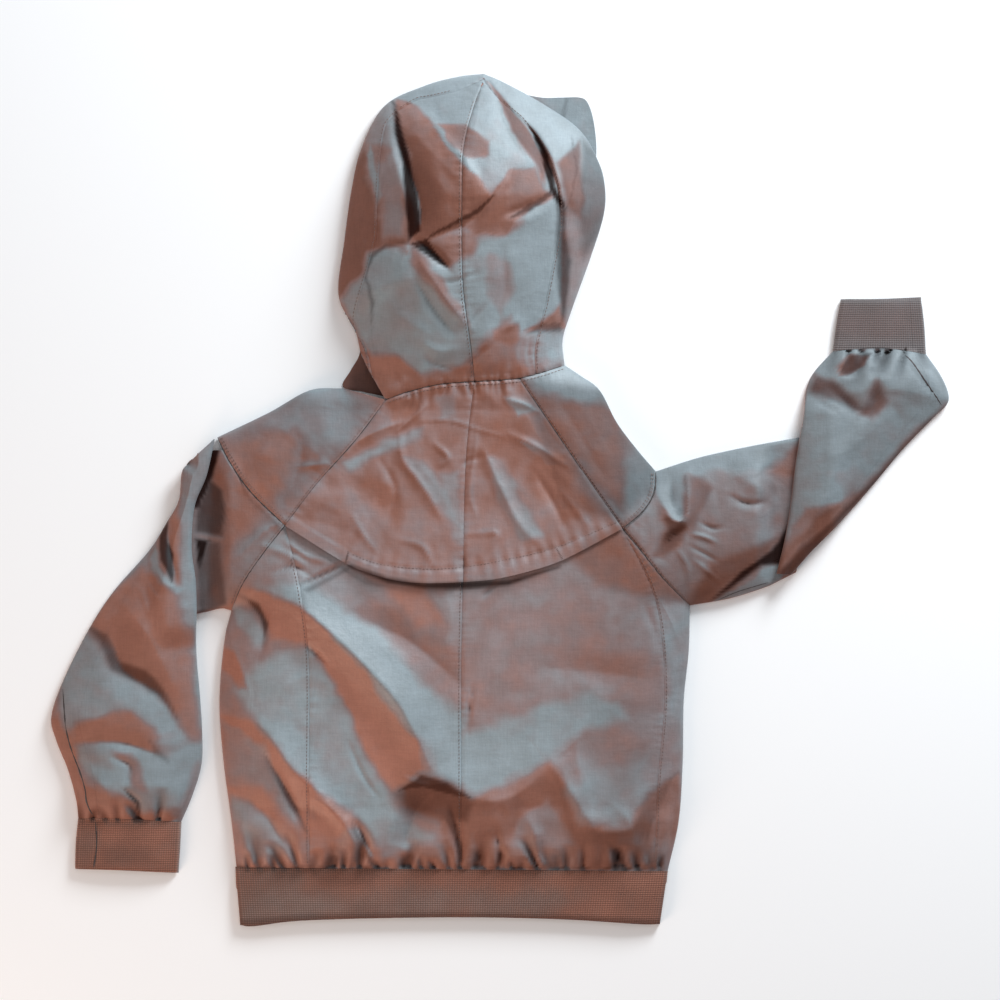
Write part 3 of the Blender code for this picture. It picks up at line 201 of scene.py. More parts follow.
upperSleeveCreases = [
    (-6, 16, 18, 0.7, [(-286, 18), (-287, -8), (-290, -30)]),
    (3, 3, 5, 0.95, [(-301, -33), (-276, -39)]),
    (-4, 14, 12, 0.7, [(-296, -44), (-292, -66), (-290, -90)]),
    (8, 13, 8, 0.9, [(186, 30), (187, 5), (186, -14), (179, -21), (170, -16), (157, 10)]),
    (-7, 13, 13, 0.6, [(170, 24), (172, 0), (175, -8)]),
    (-8, 13, 13, 0.7, [(184, -24), (170, -38), (160, -54)]),
    (2.8, 4, 5, 0.95, [(192, -34), (203, -36), (214, -41)]),
    (-2.2, 4, 5, 0.95, [(190, -46), (204, -53), (218, -61)]),
    (2.5, 5, 6, 0.95, [(194, -60), (206, -70), (218, -80)]),
    (2.5, 6, 6, 0.95, [(178, -50), (186, -66), (188, -84)]),
    (-2.2, 5, 5, 0.95, [(200, -22), (212, -28), (222, -26)]),
    (-3.5, 6, 9, 0.95, [(229, 5), (246, -3), (266, -2)]),
    (1.0, 3, 3, 0.95, [(228, 22), (262, 28), (290, 29)]),
    (-5, 8, 18, 0.8, [(256, 24), (280, 38), (300, 50)]),
    (3, 20, 16, 0.6, [(205, 36), (245, 20), (285, -5)]),
    (-4, 14, 14, 0.7, [(220, -86), (250, -74), (282, -52)]),
]

hoodCreases = [
    (-17, 28, 10, 0.75, [(-106, 402), (-101, 360), (-90, 325), (-80, 298), (-78, 275), (-87, 254)]),
    (6, 6, 24, 0.8, [(-112, 392), (-109, 355), (-98, 315), (-93, 285), (-102, 262)]),
    (-6, 9, 9, 0.95, [(-87, 254), (-108, 251), (-124, 244), (-131, 222)]),
    (4, 7, 11, 0.9, [(-142, 302), (-129, 275), (-115, 256)]),
    (3, 6, 9, 0.9, [(-146, 280), (-139, 262), (-130, 246)]),
    (-4, 7, 8, 0.95, [(-159, 208), (-143, 227), (-131, 222)]),
    (6, 11, 32, 0.9, [(-87, 399), (-60, 367), (-41, 344), (-22, 317)]),
    (4, 16, 18, 0.8, [(-60, 367), (-32, 370), (-14, 353), (0, 346)]),
    (-5.5, 10, 14, 0.95, [(-72, 258), (-35, 271), (-12, 292), (9, 316), (12, 326)]),
    (-9, 7, 11, 0.95, [(-80, 256), (-64, 243), (-51, 230)]),
    (-6, 9, 12, 0.95, [(5, 281), (30, 291), (56, 306)]),
    (5, 12, 16, 0.8, [(14, 272), (38, 280), (54, 292)]),
    (-22, 9, 18, 0.85, [(27, 374), (41, 348), (50, 325), (57, 303)]),
    (-20, 22, 9, 0.8, [(57, 303), (61, 280), (61, 233), (62, 176)]),
    (-6, 22, 8, 0.95, [(-7, 415), (4, 371), (20, 344), (39, 331)]),
    (5, 12, 14, 0.9, [(43, 396), (50, 365), (57, 334)]),
    (-7, 9, 9, 0.9, [(84, 362), (74, 326), (69, 290)]),
    (7, 10, 12, 0.9, [(86, 366), (86, 330), (84, 292)]),
    (-5, 7, 7, 0.95, [(57, 334), (63, 312), (69, 291)]),
    (3.5, 11, 15, 0.8, [(-115, 199), (-90, 176), (-67, 164)]),
    (6, 17, 10, 0.9, [(-78, 235), (-55, 200), (-31, 171)]),
    (-4, 9, 9, 0.8, [(-86, 224), (-66, 190), (-46, 164)]),
    (-2.4, 3.5, 5, 0.95, [(-57, 214), (-40, 217), (-23, 224)]),
    (-2, 4, 4, 0.95, [(-32, 171), (-14, 192)]),
    (-2.8, 5, 6, 0.95, [(-30, 133), (-20, 144), (-9, 153)]),
    (-4.5, 12, 14, 0.7, [(3, 246), (5, 215), (-2, 180)]),
    (-9, 15, 5, 0.95, [(26, 166), (46, 172), (63, 171)]),
    (-2.5, 4, 5, 0.95, [(30, 161), (27, 137)]),
    (1.4, 3, 3, 0.95, [(14, 199), (34, 207), (55, 217)]),
    (2.5, 6, 6, 0.9, [(6, 168), (20, 178), (18, 154)]),
    (-3, 5, 5, 0.9, [(-67, 399), (-60, 376)]),
    (2.5, 8, 10, 0.8, [(-146, 190), (-132, 170), (-118, 150)]),
    (-3, 6, 8, 0.95, [(-125, 200), (-131, 185), (-128, 168)]),
    (3, 10, 12, 0.8, [(-80, 160), (-62, 148), (-40, 150)]),
    (-2.5, 8, 8, 0.9, [(-74, 140), (-60, 134), (-44, 130)]),
    (2.4, 7, 7, 0.9, [(-100, 128), (-96, 118), (-108, 108)]),
]

leftSleeveCreases = [
    (-9, 8, 7, 0.8, [(-331, -20), (-328, -47), (-321, -82)]),
    (4, 6, 11, 0.9, [(-344, -63), (-335, -81), (-321, -88)]),
    (1.8, 4, 5, 0.95, [(-353, -78), (-346, -90), (-338, -100)]),
    (1.6, 4, 4, 0.95, [(-362, -84), (-354, -98), (-350, -112)]),
    (-8, 34, 30, 0.7, [(-420, -118), (-387, -136), (-375, -169), (-338, -194), (-322, -224), (-303, -246)]),
    (6, 22, 26, 0.7, [(-372, -106), (-346, -140), (-322, -190)]),
    (-5, 20, 16, 0.9, [(-428, -243), (-399, -240), (-368, -243), (-336, -256)]),
    (-3, 8, 8, 0.9, [(-387, -255), (-368, -264), (-371, -282)]),
    (-6, 5, 8, 0.95, [(-372, -288), (-359, -301), (-362, -321)]),
    (-3, 4, 6, 0.95, [(-335, -308), (-330, -321)]),
    (3, 16, 16, 0.8, [(-411, -261), (-390, -290), (-374, -318)]),
    (-1.6, 2.5, 3, 0.95, [(-437, -185), (-429, -240), (-414, -280), (-403, -320)]),
    (3, 4, 9, 0.95, [(-308, 20), (-310, -10), (-311, -60)]),
    (-3, 8, 8, 0.9, [(-322, 22), (-316, 8), (-308, 0)]),
    (2, 6, 8, 0.9, [(-312, -116), (-318, -136), (-316, -170)]),
]

rightSleeveCreases = [
    (-9, 10, 10, 0.7, [(338, 134), (350, 129), (360, 136)]),
    (5, 6, 9, 0.95, [(343, 119), (359, 127), (373, 146)]),
    (-5, 14, 13, 0.7, [(322, 118), (345, 98), (360, 88)]),
    (-5, 10, 12, 0.8, [(376, 112), (372, 92), (361, 81)]),
    (-3.5, 6, 6, 0.95, [(374, 148), (371, 130), (367, 116)]),
    (-4, 5, 3, 0.95, [(398, 148), (413, 127), (429, 109), (441, 93)]),
    (2, 5, 6, 0.95, [(412, 148), (424, 132), (436, 116)]),
    (-3, 5, 7, 0.95, [(307, 104), (322, 96), (336, 87)]),
    (5, 30, 24, 0.7, [(290, -18), (305, -8), (335, -6), (366, 18)]),
    (3, 20, 20, 0.6, [(322, 40), (350, 52), (392, 88)]),
    (-2, 8, 8, 0.8, [(392, 96), (400, 72), (396, 52)]),
]


# Catmull-Rom curve through the points: for each span 0.5*(2b + (c-a)t + (2a-5b+4c-d)t2 + (3b-a-3c+d)t3).
def smoothLine(points, perSpan=8):
    p = np.asarray(points, float)
    p = np.vstack([2 * p[0] - p[1], p, 2 * p[-1] - p[-2]])
    a, b, c, d = (p[k:len(p) - 3 + k, None] for k in range(4))
    t = np.linspace(0, 1, perSpan, endpoint=False)[None, :, None]
    spans = 0.5 * (2 * b + (c - a) * t + (2 * a - 5 * b + 4 * c - d) * t**2 + (3 * b - a - 3 * c + d) * t**3)
    return np.vstack([spans.reshape(-1, 2), p[-2:-1]])


lines = {name: smoothLine(points) for name, points in seamLines.items()}


# Lines end to end; a name with a minus sign runs backwards.
def joined(*names):
    return np.vstack([lines[n[1:]][::-1] if n[0] == "-" else lines[n] for n in names])


# A line given by its name or by its points.
def asLine(line):
    return joined(line) if isinstance(line, str) else np.asarray(line, float)


# Places at shares 0..1 of a line's length.
def lineAt(line, shares):
    dense = asLine(line)
    run = np.concatenate([[0], np.cumsum(np.linalg.norm(np.diff(dense, axis=0), axis=1))])
    at = np.asarray(shares, float) * run[-1]
    return np.stack([np.interp(at, run, dense[:, k]) for k in (0, 1)], axis=-1)


# Sum of the distances from point to point.
def lineLength(line):
    return float(np.linalg.norm(np.diff(asLine(line), axis=0), axis=1).sum())


# Unit vectors: each divided by its length.
def unit(v):
    return v / np.maximum(np.linalg.norm(v, axis=-1, keepdims=True), 1e-9)


# 0 below low, 1 above high, with the cubic 3t2 - 2t3 between them.
def smoothStep(x, low, high):
    t = np.clip((x - low) / (high - low), 0, 1)
    return t * t * (3 - 2 * t)


# Distance of each place to a line, the share along it and the side it is on: +1 left of its run, -1 right.
# Places farther than reach from the line's box keep a distance of 1e6.
def distanceTo(x, y, line, reach=1e6):
    best, share, side = np.full(x.shape, 1e6), np.zeros(x.shape), np.ones(x.shape)
    low, high = line.min(0) - reach, line.max(0) + reach
    near = (x > low[0]) & (x < high[0]) & (y > low[1]) & (y < high[1])
    if not near.any():
        return best, share, side
    px, py = x[near], y[near]
    step = np.diff(line, axis=0)
    length2 = np.maximum((step**2).sum(1), 1e-9)
    run = np.concatenate([[0], np.cumsum(np.sqrt(length2))])
    bestNear, shareNear, sideNear = np.full(px.shape, 1e12), np.zeros(px.shape), np.ones(px.shape)
    for (ax, ay), (sx, sy), l2, r0, r1 in zip(line[:-1], step, length2, run[:-1], run[1:]):
        dx, dy = px - ax, py - ay
        t = np.clip((dx * sx + dy * sy) / l2, 0, 1)
        d2 = (dx - t * sx) ** 2 + (dy - t * sy) ** 2
        closer = d2 < bestNear
        bestNear = np.where(closer, d2, bestNear)
        shareNear = np.where(closer, (r0 + t * (r1 - r0)) / run[-1], shareNear)
        sideNear = np.where(closer, np.sign(sx * dy - sy * dx), sideNear)
    best[near], share[near], side[near] = np.sqrt(bestNear), shareNear, sideNear
    return best, share, side


# Creases: each row is (rise, width left of its run, width right, sharpness, points of its spine).
# Across the spine the height falls as a squared cosine, or as (1 - d/w)^2.2 where it is sharp;
# along the spine it swells from a third of its height at the ends to all of it in the middle.
def creaseRelief(x, y, creases):
    z = np.zeros(np.shape(x))
    for rise, left, right, sharp, points in creases:
        d, s, side = distanceTo(x, y, smoothLine(points, 5), max(left, right))
        t = np.minimum(d / np.where(side > 0, left, right), 1)
        across = (1 - sharp) * np.cos(np.pi / 2 * t) ** 2 + sharp * (1 - t) ** 2.2
        z = z + rise * across * (0.3 + 0.7 * np.sin(np.pi * np.clip(s, 0, 1)) ** 0.8)
    return z


noiseTable = np.random.default_rng(11).uniform(-1, 1, (64, 64))


# Reads the table where turned places fall on it: their shares across a cell, and its four corners' entries.
def lattice(x, y, turn, wide, high, shiftU, shiftV):
    u = (x * math.cos(turn) - y * math.sin(turn)) / wide + shiftU
    v = (x * math.sin(turn) + y * math.cos(turn)) / high + shiftV
    i, j = np.floor(u).astype(int), np.floor(v).astype(int)
    i0, j0, i1, j1 = i % 64, j % 64, (i + 1) % 64, (j + 1) % 64
    return u - i, v - j, noiseTable[i0, j0], noiseTable[i1, j0], noiseTable[i0, j1], noiseTable[i1, j1]


# Smooth noise from -1 to 1: the table's entries mixed by the cubic 3f2 - 2f3, turned a little for each layer.
def softNoise(x, y, cell, layer=0):
    f, g, z00, z10, z01, z11 = lattice(x, y, 0.6 + 0.9 * layer, cell, cell, 13.1 * layer, 7.7 * layer)
    f, g = f * f * (3 - 2 * f), g * g * (3 - 2 * g)
    low, high = z00 * (1 - f) + z10 * f, z01 * (1 - f) + z11 * f
    return low * (1 - g) + high * g


# Facets: the same table joined by flat triangles, bent by a wide soft noise, so cloth looks pressed and crumpled.
def facets(x, y, cell, layer=0):
    bx = x + 0.8 * cell * softNoise(x, y, 2.6 * cell, layer + 5)
    by = y + 0.8 * cell * softNoise(x, y, 2.3 * cell, layer + 6)
    f, g, z00, z10, z01, z11 = lattice(bx, by, 0.35 + 1.1 * layer, cell, 0.72 * cell, 9.7 * layer, 4.1 * layer)
    low = z00 + f * (z10 - z00) + g * (z01 - z00)
    high = z11 + (1 - f) * (z01 - z11) + (1 - g) * (z10 - z11)
    return np.where(f + g < 1, low, high)


# Crumples of two sizes, stronger here and weaker there.
def crumple(x, y, cell, layer=0):
    both = 0.75 * facets(x, y, cell, layer) + 0.4 * facets(x, y, 0.5 * cell, layer + 1)
    return both * (0.8 + 0.4 * softNoise(x, y, 3 * cell, layer + 2))


# Side folds of each stretch of flattened tube.
mainSides = [
    joined("sideLeft", "underarmLeft"),
    np.vstack([joined("-shoulderLeft"), [(-149, 130)],
               joined("hoodLeft", "-hoodRight", "shoulderRight", "armTopRight")]),
    joined("sideRight", "underarmRight"),
    np.array([(-264, -366), (-260, -440)]),
    np.array([(168, -370), (161, -440)]),
]
yokeHem = joined("yokeHemLeft", "-yokeHemRight")
stitchedHem = smoothLine([(-150, -52), (-120, -63), (-75, -68), (-35, -66), (0, -60), (55, -47), (120, -20)])


# Distance to the nearest side fold.
def edgeDistance(x, y, sides):
    return np.min([distanceTo(x, y, side, 110)[0] for side in sides], axis=0)


# Quarter circle over the fold, then a parabola that flattens out at the ground height.
def pillow(d, height):
    r = cloth["foldRound"]
    fold = r + r * np.sqrt(1 - (1 - np.clip(d / r, 0, 1)) ** 2)
    return fold + (height - 2 * r) * (1 - (1 - np.clip(d / (30 + 1.2 * height), 0, 1)) ** 2)


# The same quarter circle on the side that lies down, then flat with faint dents up into the cloth.
def underPillow(x, y, d):
    r = cloth["foldRound"]
    dents = np.maximum(crumple(x, y, 34, 3), 0) * 1.6 * smoothStep(d, 4, 20)
    return r - r * np.sqrt(1 - (1 - np.clip(d / r, 0, 1)) ** 2) + dents


neckSeam = joined("neckLeft", "neckMiddle", "neckRight")
raglanLeft, raglanRight = joined("raglanLeft", "raglanLeftLow"), joined("raglanRight", "raglanRightLow")
# Sewn seams: each row is (line, groove, pucker height, pucker pitch, reach).
seamRows = [
    (joined("centreSeam"), 0.9, 0.35, 7, 7),
    (joined("centreYoke"), 0.9, 0.35, 8, 7),
    (joined("sideSeamLeft"), 0.5, 0.4, 9, 8),
    (joined("sideSeamRight"), 0.5, 0.5, 7, 8),
    (raglanLeft, 0.6, 0.25, 9, 7),
    (raglanRight, 0.6, 0.25, 9, 7),
    (joined("yokeSeamLeft"), 0.6, 0.3, 8, 6),
    (joined("yokeSeamRight"), 1.0, 0.35, 6, 7),
    (neckSeam, 1.8, 0.5, 7, 8),
    (joined("hoodSpine"), 0.9, 0.55, 8, 8),
]
grooveWide = 1.3


# A groove shaped as the bell exp(-(d/w)2), and puckers across it: a sine of uneven pitch that dies away.
def seamRelief(x, y, rows):
    z = np.zeros(np.shape(x))
    for line, groove, pucker, pitch, reach in rows:
        d, share, side = distanceTo(x, y, line, 3 * reach)
        run = share * lineLength(line)
        wave = np.sin(2 * np.pi * run / pitch + 1.7 * np.sin(run / 17) + side) * (0.6 + 0.4 * np.sin(run / 11 + side))
        z = z - groove * np.exp(-((d / grooveWide) ** 2)) + pucker * wave * np.exp(-d / reach)
    return z


gatherLook = {"puff": 9.5, "puffReach": 5, "puffEnd": 60, "depth": (3.5, 9.0), "wide": (2.0, 4.4), "long": (16, 54),
              "lean": 0.5}
# First and last place along each gathered seam, mean distance between tucks, and seed.
gatherSpans = {"hem": (-262, 166, 11, 3), "left": (-418, -320, 12, 1), "right": (336, 424, 12, 3)}
gatherSeams = {"hem": (-367.5, 1), "left": (-319, 1), "right": (149.5, -1)}  # place along Y, and which way is away


# Distance from a gathered seam into the cloth.
def gatherAway(y, name):
    seam, way = gatherSeams[name]
    return way * (y - seam)


# Tucks drawn in by a gathered seam, each a groove with its own place, depth, width, length and lean: depth times
# the bell exp(-(s/w)2) across it, w growing and the depth falling with the square of the way from the seam.
def tucks(along, away, first, last, pitch, seed, look=gatherLook, scale=1.0):
    rng = np.random.default_rng(seed)
    z = np.zeros(np.shape(along))
    at = first
    while at < last:
        depth, wide, long = (rng.uniform(*look[k]) for k in ("depth", "wide", "long"))
        long = long * rng.uniform(0.35, 1.0)
        lean = rng.uniform(-look["lean"], look["lean"])
        across = (along - at - lean * away) / (wide * (1 + away / 22))
        z = z - scale * depth * np.exp(-(across**2)) * np.clip(1 - (away / long) ** 2, 0, 1)
        at += pitch * rng.uniform(0.5, 1.7)
    return z


# Cloth blouses over the band beside a gathered seam: a puff that rises fast and sinks slowly, and the tucks in it.
def gatherRelief(along, y, name):
    g = gatherLook
    away = np.maximum(gatherAway(y, name), 0)
    puff = g["puff"] * (1 - np.exp(-away / g["puffReach"])) * np.exp(-away / g["puffEnd"])
    span = gatherSpans[name]
    return puff * (1 + 0.5 * softNoise(along, away, 38, span[-1])) + tucks(along, away, *span)


mainCreases = bodyCreases + yokeCreases + shoulderCreases + upperSleeveCreases + hoodCreases
heightAt, heightRows = np.array(heights, float).T
armHeight = 23


# Ground height read along Y, lower on the arms and low at the bends, with all creases added.
def mainHeight(x, y):
    ground = np.interp(y, heightAt, heightRows)
    arm = np.maximum(smoothStep(-x, 215, 275), smoothStep(x, 150, 215)) * smoothStep(y, -125, -60)
    arm = arm * smoothStep(-y, -160, -110)
    ground = ground + (armHeight - ground) * arm
    creases = creaseRelief(x, y, mainCreases)
    flat = smoothStep(-y, 338, 364)
    full = ground + creases * (1 - 0.75 * flat) * (1 - smoothStep(y, 398, 425))
    end = np.maximum(smoothStep(-x, 266, 291), smoothStep(x, 254, 275)) * smoothStep(y, -135, -105)
    end = end * smoothStep(-y, -110, -90)
    return np.maximum(full + (cloth["bendFlat"] + 0.25 * creases - full) * end, leastFull)


# Pillow over the side folds, plus seams, gathers above the band, and crumples that grow towards the yoke.
def mainTop(x, y):
    d = edgeDistance(x, y, mainSides)
    z = pillow(d, mainHeight(x, y)) + hoodLift(y)
    inside = smoothStep(d, 2.5, 14)
    band = smoothStep(-y, 364, 368)
    rough = 0.55 + 0.85 * smoothStep(y, -90, -20) - 0.3 * smoothStep(y, 130, 170)
    fine = rough * crumple(x, y, 26)
    hem = gatherRelief(x, y, "hem") * smoothStep(-y, 300, 320)
    neckAway = np.abs(y - 119 + 0.0025 * (x + 5) ** 2 * (x < -5))
    neck = tucks(x, neckAway, -96, 22, 9, 8, scale=0.4) * smoothStep(-neckAway, -30, -6)
    z = z + inside * (1 - band) * (fine + hem + neck)
    z = z + smoothStep(d, 1, 6) * (1 - band) * seamRelief(x, y, seamRows)
    return np.maximum(z, cloth["least"])


# The hood lies a little higher, on its own front edge.
def hoodLift(y):
    return cloth["hoodClear"] * smoothStep(y, 88, 112)


# Underside of the body, and of the hood, which is lifted.
def mainUnder(x, y):
    return underPillow(x, y, edgeDistance(x, y, mainSides))


def hoodUnder(x, y):
    return mainUnder(x, y) + hoodLift(y)


# The yoke rides over the panel it laps, more at its free hem, which waves and is thicker below its stitching.
def yokeTop(x, y):
    d, share, _ = distanceTo(x, y, yokeHem, 80)
    free = smoothStep(share, 0.17, 0.3) * smoothStep(-share, -0.83, -0.7)
    lap = smoothStep(-d, -75, -40)
    stitched, along, side = distanceTo(x, y, stitchedHem, 30)
    run = along * lineLength(stitchedHem)
    hemWave = 0.7 * np.sin(2 * np.pi * run / 13 + 2 * np.sin(run / 31)) * np.exp(-stitched / 9)
    fold = 0.7 * smoothStep(-d, -12, -10) * (d < 40) - 0.7 * np.exp(-((stitched / grooveWide) ** 2))
    edge = cloth["yokeEdge"] * free * (1 + 0.35 * np.sin(share * 31)) * smoothStep(-d, -30, 0)
    return mainTop(x, y) + cloth["yokeLift"] * lap + edge + fold + hemWave


# Lower sleeves: side folds, creases, height of the full sleeve, and where it rises onto the stretch under it:
# the way of both axes, then from and to along X and along Y.
arms = {
    "left": {"sides": [np.vstack([joined("sleeveLeftOut"), [(-426, -400)]]),
                       np.vstack([joined("sleeveLeftIn"), [(-323, -400)]])],
             "creases": leftSleeveCreases, "full": 25, "lift": (1, -352, -328, -150, -122)},
    "right": {"sides": [np.vstack([joined("sleeveRightOut"), [(419, 240)]]),
                        np.vstack([joined("sleeveRightIn"), [(347, 240)]])],
              "creases": rightSleeveCreases, "full": 23, "lift": (-1, -352, -326, -112, -84)},
}


# Height of the bend: nothing at the cuff's end, bendLift where the sleeve lies on the stretch under it.
def bendRise(x, y, side):
    way, x0, x1, y0, y1 = arms[side]["lift"]
    return cloth["bendLift"] * smoothStep(way * x, x0, x1) * smoothStep(way * y, y0, y1)


# A sleeve: pillow with creases, lower towards the band, with gathers at the cuff, crumples and the bend's rise.
def sleeveTop(x, y, side):
    arm = arms[side]
    away = gatherAway(y, side)
    height = arm["full"] + creaseRelief(x, y, arm["creases"]) * smoothStep(away, 0, 14)
    height = height + (cloth["ribThick"] + 1 - height) * smoothStep(-away, -42, 0)
    d = edgeDistance(x, y, arm["sides"])
    inside = smoothStep(d, 2.5, 12) * (away > 0)
    fine = 0.7 * crumple(x, y, 26, 1) + gatherRelief(x, y, side) * smoothStep(-away, -60, -25)
    z = pillow(d, np.maximum(height, leastFull)) + inside * fine
    return np.maximum(z, cloth["least"]) + bendRise(x, y, side)


# Underside of a sleeve, raised where it lies on the stretch under it.
def sleeveUnder(x, y, side):
    return underPillow(x, y, edgeDistance(x, y, arms[side]["sides"])) + bendRise(x, y, side)


# A surface of one sleeve, as a function of x and y alone.
def ofSleeve(surface, side):
    return lambda x, y: surface(x, y, side)


leftSleeveTop, rightSleeveTop = (ofSleeve(sleeveTop, side) for side in arms)
leftSleeveUnder, rightSleeveUnder = (ofSleeve(sleeveUnder, side) for side in arms)


# Coons patch between four lines: the two ruled surfaces added, less the bilinear one through the corners.
def patch(bottom, top, left, right, u, v):
    b, t, le, r = lineAt(bottom, u), lineAt(top, u), lineAt(left, v), lineAt(right, v)
    b0, b1, t0, t1 = lineAt(bottom, 0.0), lineAt(bottom, 1.0), lineAt(top, 0.0), lineAt(top, 1.0)
    u, v = u[..., None], v[..., None]
    corners = (1 - u) * (1 - v) * b0 + u * (1 - v) * b1 + (1 - u) * v * t0 + u * v * t1
    return (1 - v) * b + v * t + (1 - u) * le + u * r - corners


# Shares of a grid: u is one row for all, or a row for each v.
def gridShares(u, v):
    u = np.asarray(u, float)
    if u.ndim == 1:
        u = np.repeat(u[None], len(v), axis=0)
    return u, np.repeat(np.asarray(v, float)[:, None], u.shape[1], axis=1)


foldSteps = (0.0, 0.45, 1.1, 2.0, 3.5)  # columns round a side fold, from its outermost line


# Shares across from a fold at 0: the fold's own columns, then even ones to the far seam.
def across(count, width):
    steps = np.array(foldSteps)[None, :] / np.maximum(width, 3 * foldSteps[-1])[:, None]
    rest = np.linspace(0, 1, count + 1)[1:]
    return np.hstack([steps, steps[:, -1:] + (1.0 - steps[:, -1:]) * rest[None, :]])


# Places in plan with the surface's height as their third number.
def raised(xy, surface):
    return np.concatenate([xy, surface(xy[..., 0], xy[..., 1])[..., None]], axis=-1)


# Rows that start on the underside, turn round the fold and end on the top; column 0 of both grids is the fold.
def wrapped(topXy, underXy, top, under):
    return np.concatenate([raised(underXy[:, 1:], under)[:, ::-1], raised(topXy[:, :1], under),
                           raised(topXy[:, 1:], top)], axis=1)


# Moves a grid's first and last line inwards, first and last millimetres each.
def pullIn(p, axis, first, last):
    p = np.moveaxis(p.copy(), axis, 0)
    for edge, inner, gap in ((0, 1, first), (-1, -2, last)):
        p[edge] += unit(p[inner] - p[edge]) * gap
    return np.moveaxis(p, 0, axis)


# The same gap on both sides of a seam, across the grid.
def seamed(p):
    return pullIn(p, 1, cloth["seamGap"], cloth["seamGap"])


# Points needed along a length, at least three, and even shares 0 to 1 for them.
def countFor(length, cell=cloth["cell"]):
    return max(3, int(round(length / cell)) + 1)


def shares(length, cell=cloth["cell"]):
    return np.linspace(0, 1, countFor(length, cell))


# Distances between two lines at the same shares.
def widths(left, right, v):
    return np.linalg.norm(lineAt(left, v) - lineAt(right, v), axis=1)


# Straight line from one line's first point (0) or last point (-1) to another's.
def ends(first, second, which):
    return np.array([seamLines[first][which], seamLines[second][which]], float)


# Materials.

# Gives an input a value, or a link where the value is another node's output.
def feed(tree, socket, value):
    if isinstance(value, bpy.types.NodeSocket):
        tree.links.new(value, socket)
    else:
        socket.default_value = value


# Adds a node, feeds its inputs by name or number, and hands back one output.
def node(tree, kind, inputs, output, **settings):
    made = tree.nodes.new("ShaderNode" + kind)
    for name, value in settings.items():
        setattr(made, name, value)
    for name, value in inputs.items():
        feed(tree, made.inputs[name], value)
    return made.outputs[output]


# Two colours, a turned into a times b or into b by the share that the factor gives.
def mixed(tree, blend, factor, a, b):
    return node(tree, "Mix", {0: factor, 6: a, 7: b}, 2, data_type="RGBA", blend_type=blend)


# Colour read between stops, each a place and a colour or one grey value.
def ramp(tree, factor, stops):
    output = node(tree, "ValToRGB", {"Fac": factor}, "Color")
    elements = output.node.color_ramp.elements
    while len(elements) < len(stops):
        elements.new(0.5)
    for element, (place, colour) in zip(elements, stops):
        element.position = place
        element.color = colour if isinstance(colour, tuple) else (colour, colour, colour, 1)
    return output


# Sum, difference or product of two values.
def maths(tree, operation, a, b):
    return node(tree, "Math", {0: a, 1: b}, 0, operation=operation)


# Cloudy noise, 0 to 1, finer with a larger scale.
def noise(tree, place, scale, detail, **more):
    return node(tree, "TexNoise", {"Vector": place, "Scale": scale, "Detail": detail, **more}, "Fac")


# Bands that swell and fall as a sine across one direction, bent by the distortion.
def wave(tree, place, direction, scale, distortion, more):
    inputs = {"Vector": place, "Scale": scale, "Distortion": distortion, **more}
    return node(tree, "TexWave", inputs, "Fac", bands_direction=direction)


# A value kept for each point of the mesh.
def attribute(tree, name):
    return node(tree, "Attribute", {}, "Fac", attribute_name=name)


# Normal tilted by the slope of a height, in metres, over an earlier tilt where there is one.
def bump(tree, height, strength, distance, under=None):
    inputs = {"Height": height, "Strength": strength, "Distance": distance}
    return node(tree, "Bump", inputs if under is None else {**inputs, "Normal": under}, "Normal")


# Scale of a wave whose bands are a pitch in metres apart.
def bandScale(pitch):
    return 2 * math.pi / pitch / 20


# A material with its shader's even values set, and the place of each point on the object.
def newMaterial(name, look):
    material = bpy.data.materials.new(name)
    material.use_nodes = True
    tree = material.node_tree
    shader = tree.nodes["Principled BSDF"]
    for socket, value in look.items():
        shader.inputs[socket].default_value = value
    return material, tree, shader, node(tree, "TexCoord", {}, "Object")


# Links what varies over the surface into the shader.
def finish(tree, shader, links):
    for name, value in links.items():
        tree.links.new(value, shader.inputs[name])


nylon = {
    # Painted light: the first colour is what the warm light gives slopes that fall to the left and down, the last
    # what the cool light and its reflection give slopes that face up and right; the middle one is the level cloth's
    # own colour.
    "warmLit": (0.365, 0.148, 0.098, 1),   # slopes that fall to the left and down
    "taupe": (0.252, 0.176, 0.168, 1),  # level cloth
    "coolLit": (0.255, 0.300, 0.318, 1),  # slopes that face up and right
    # Painted shade: the colour of deep hollows and gaps.
    "hollow": (0.07, 0.045, 0.04, 1),
    "stops": (0.06, 0.5, 0.94),         # tones of the three colours
    "cloudy": 0.14,                     # how far a noise moves the tone
    "roughness": (0.40, 0.54),
    "threadPitch": 0.0011,
    "slubs": (60.0, 900.0),             # noise scale along a thread and across it
    "crumple": 0.45,                    # strength of the fine bump
    "weave": 0.30,
    "shader": {"IOR": 1.48, "Sheen Weight": 0.05, "Sheen Roughness": 0.4, "Specular IOR Level": 0.5},
}
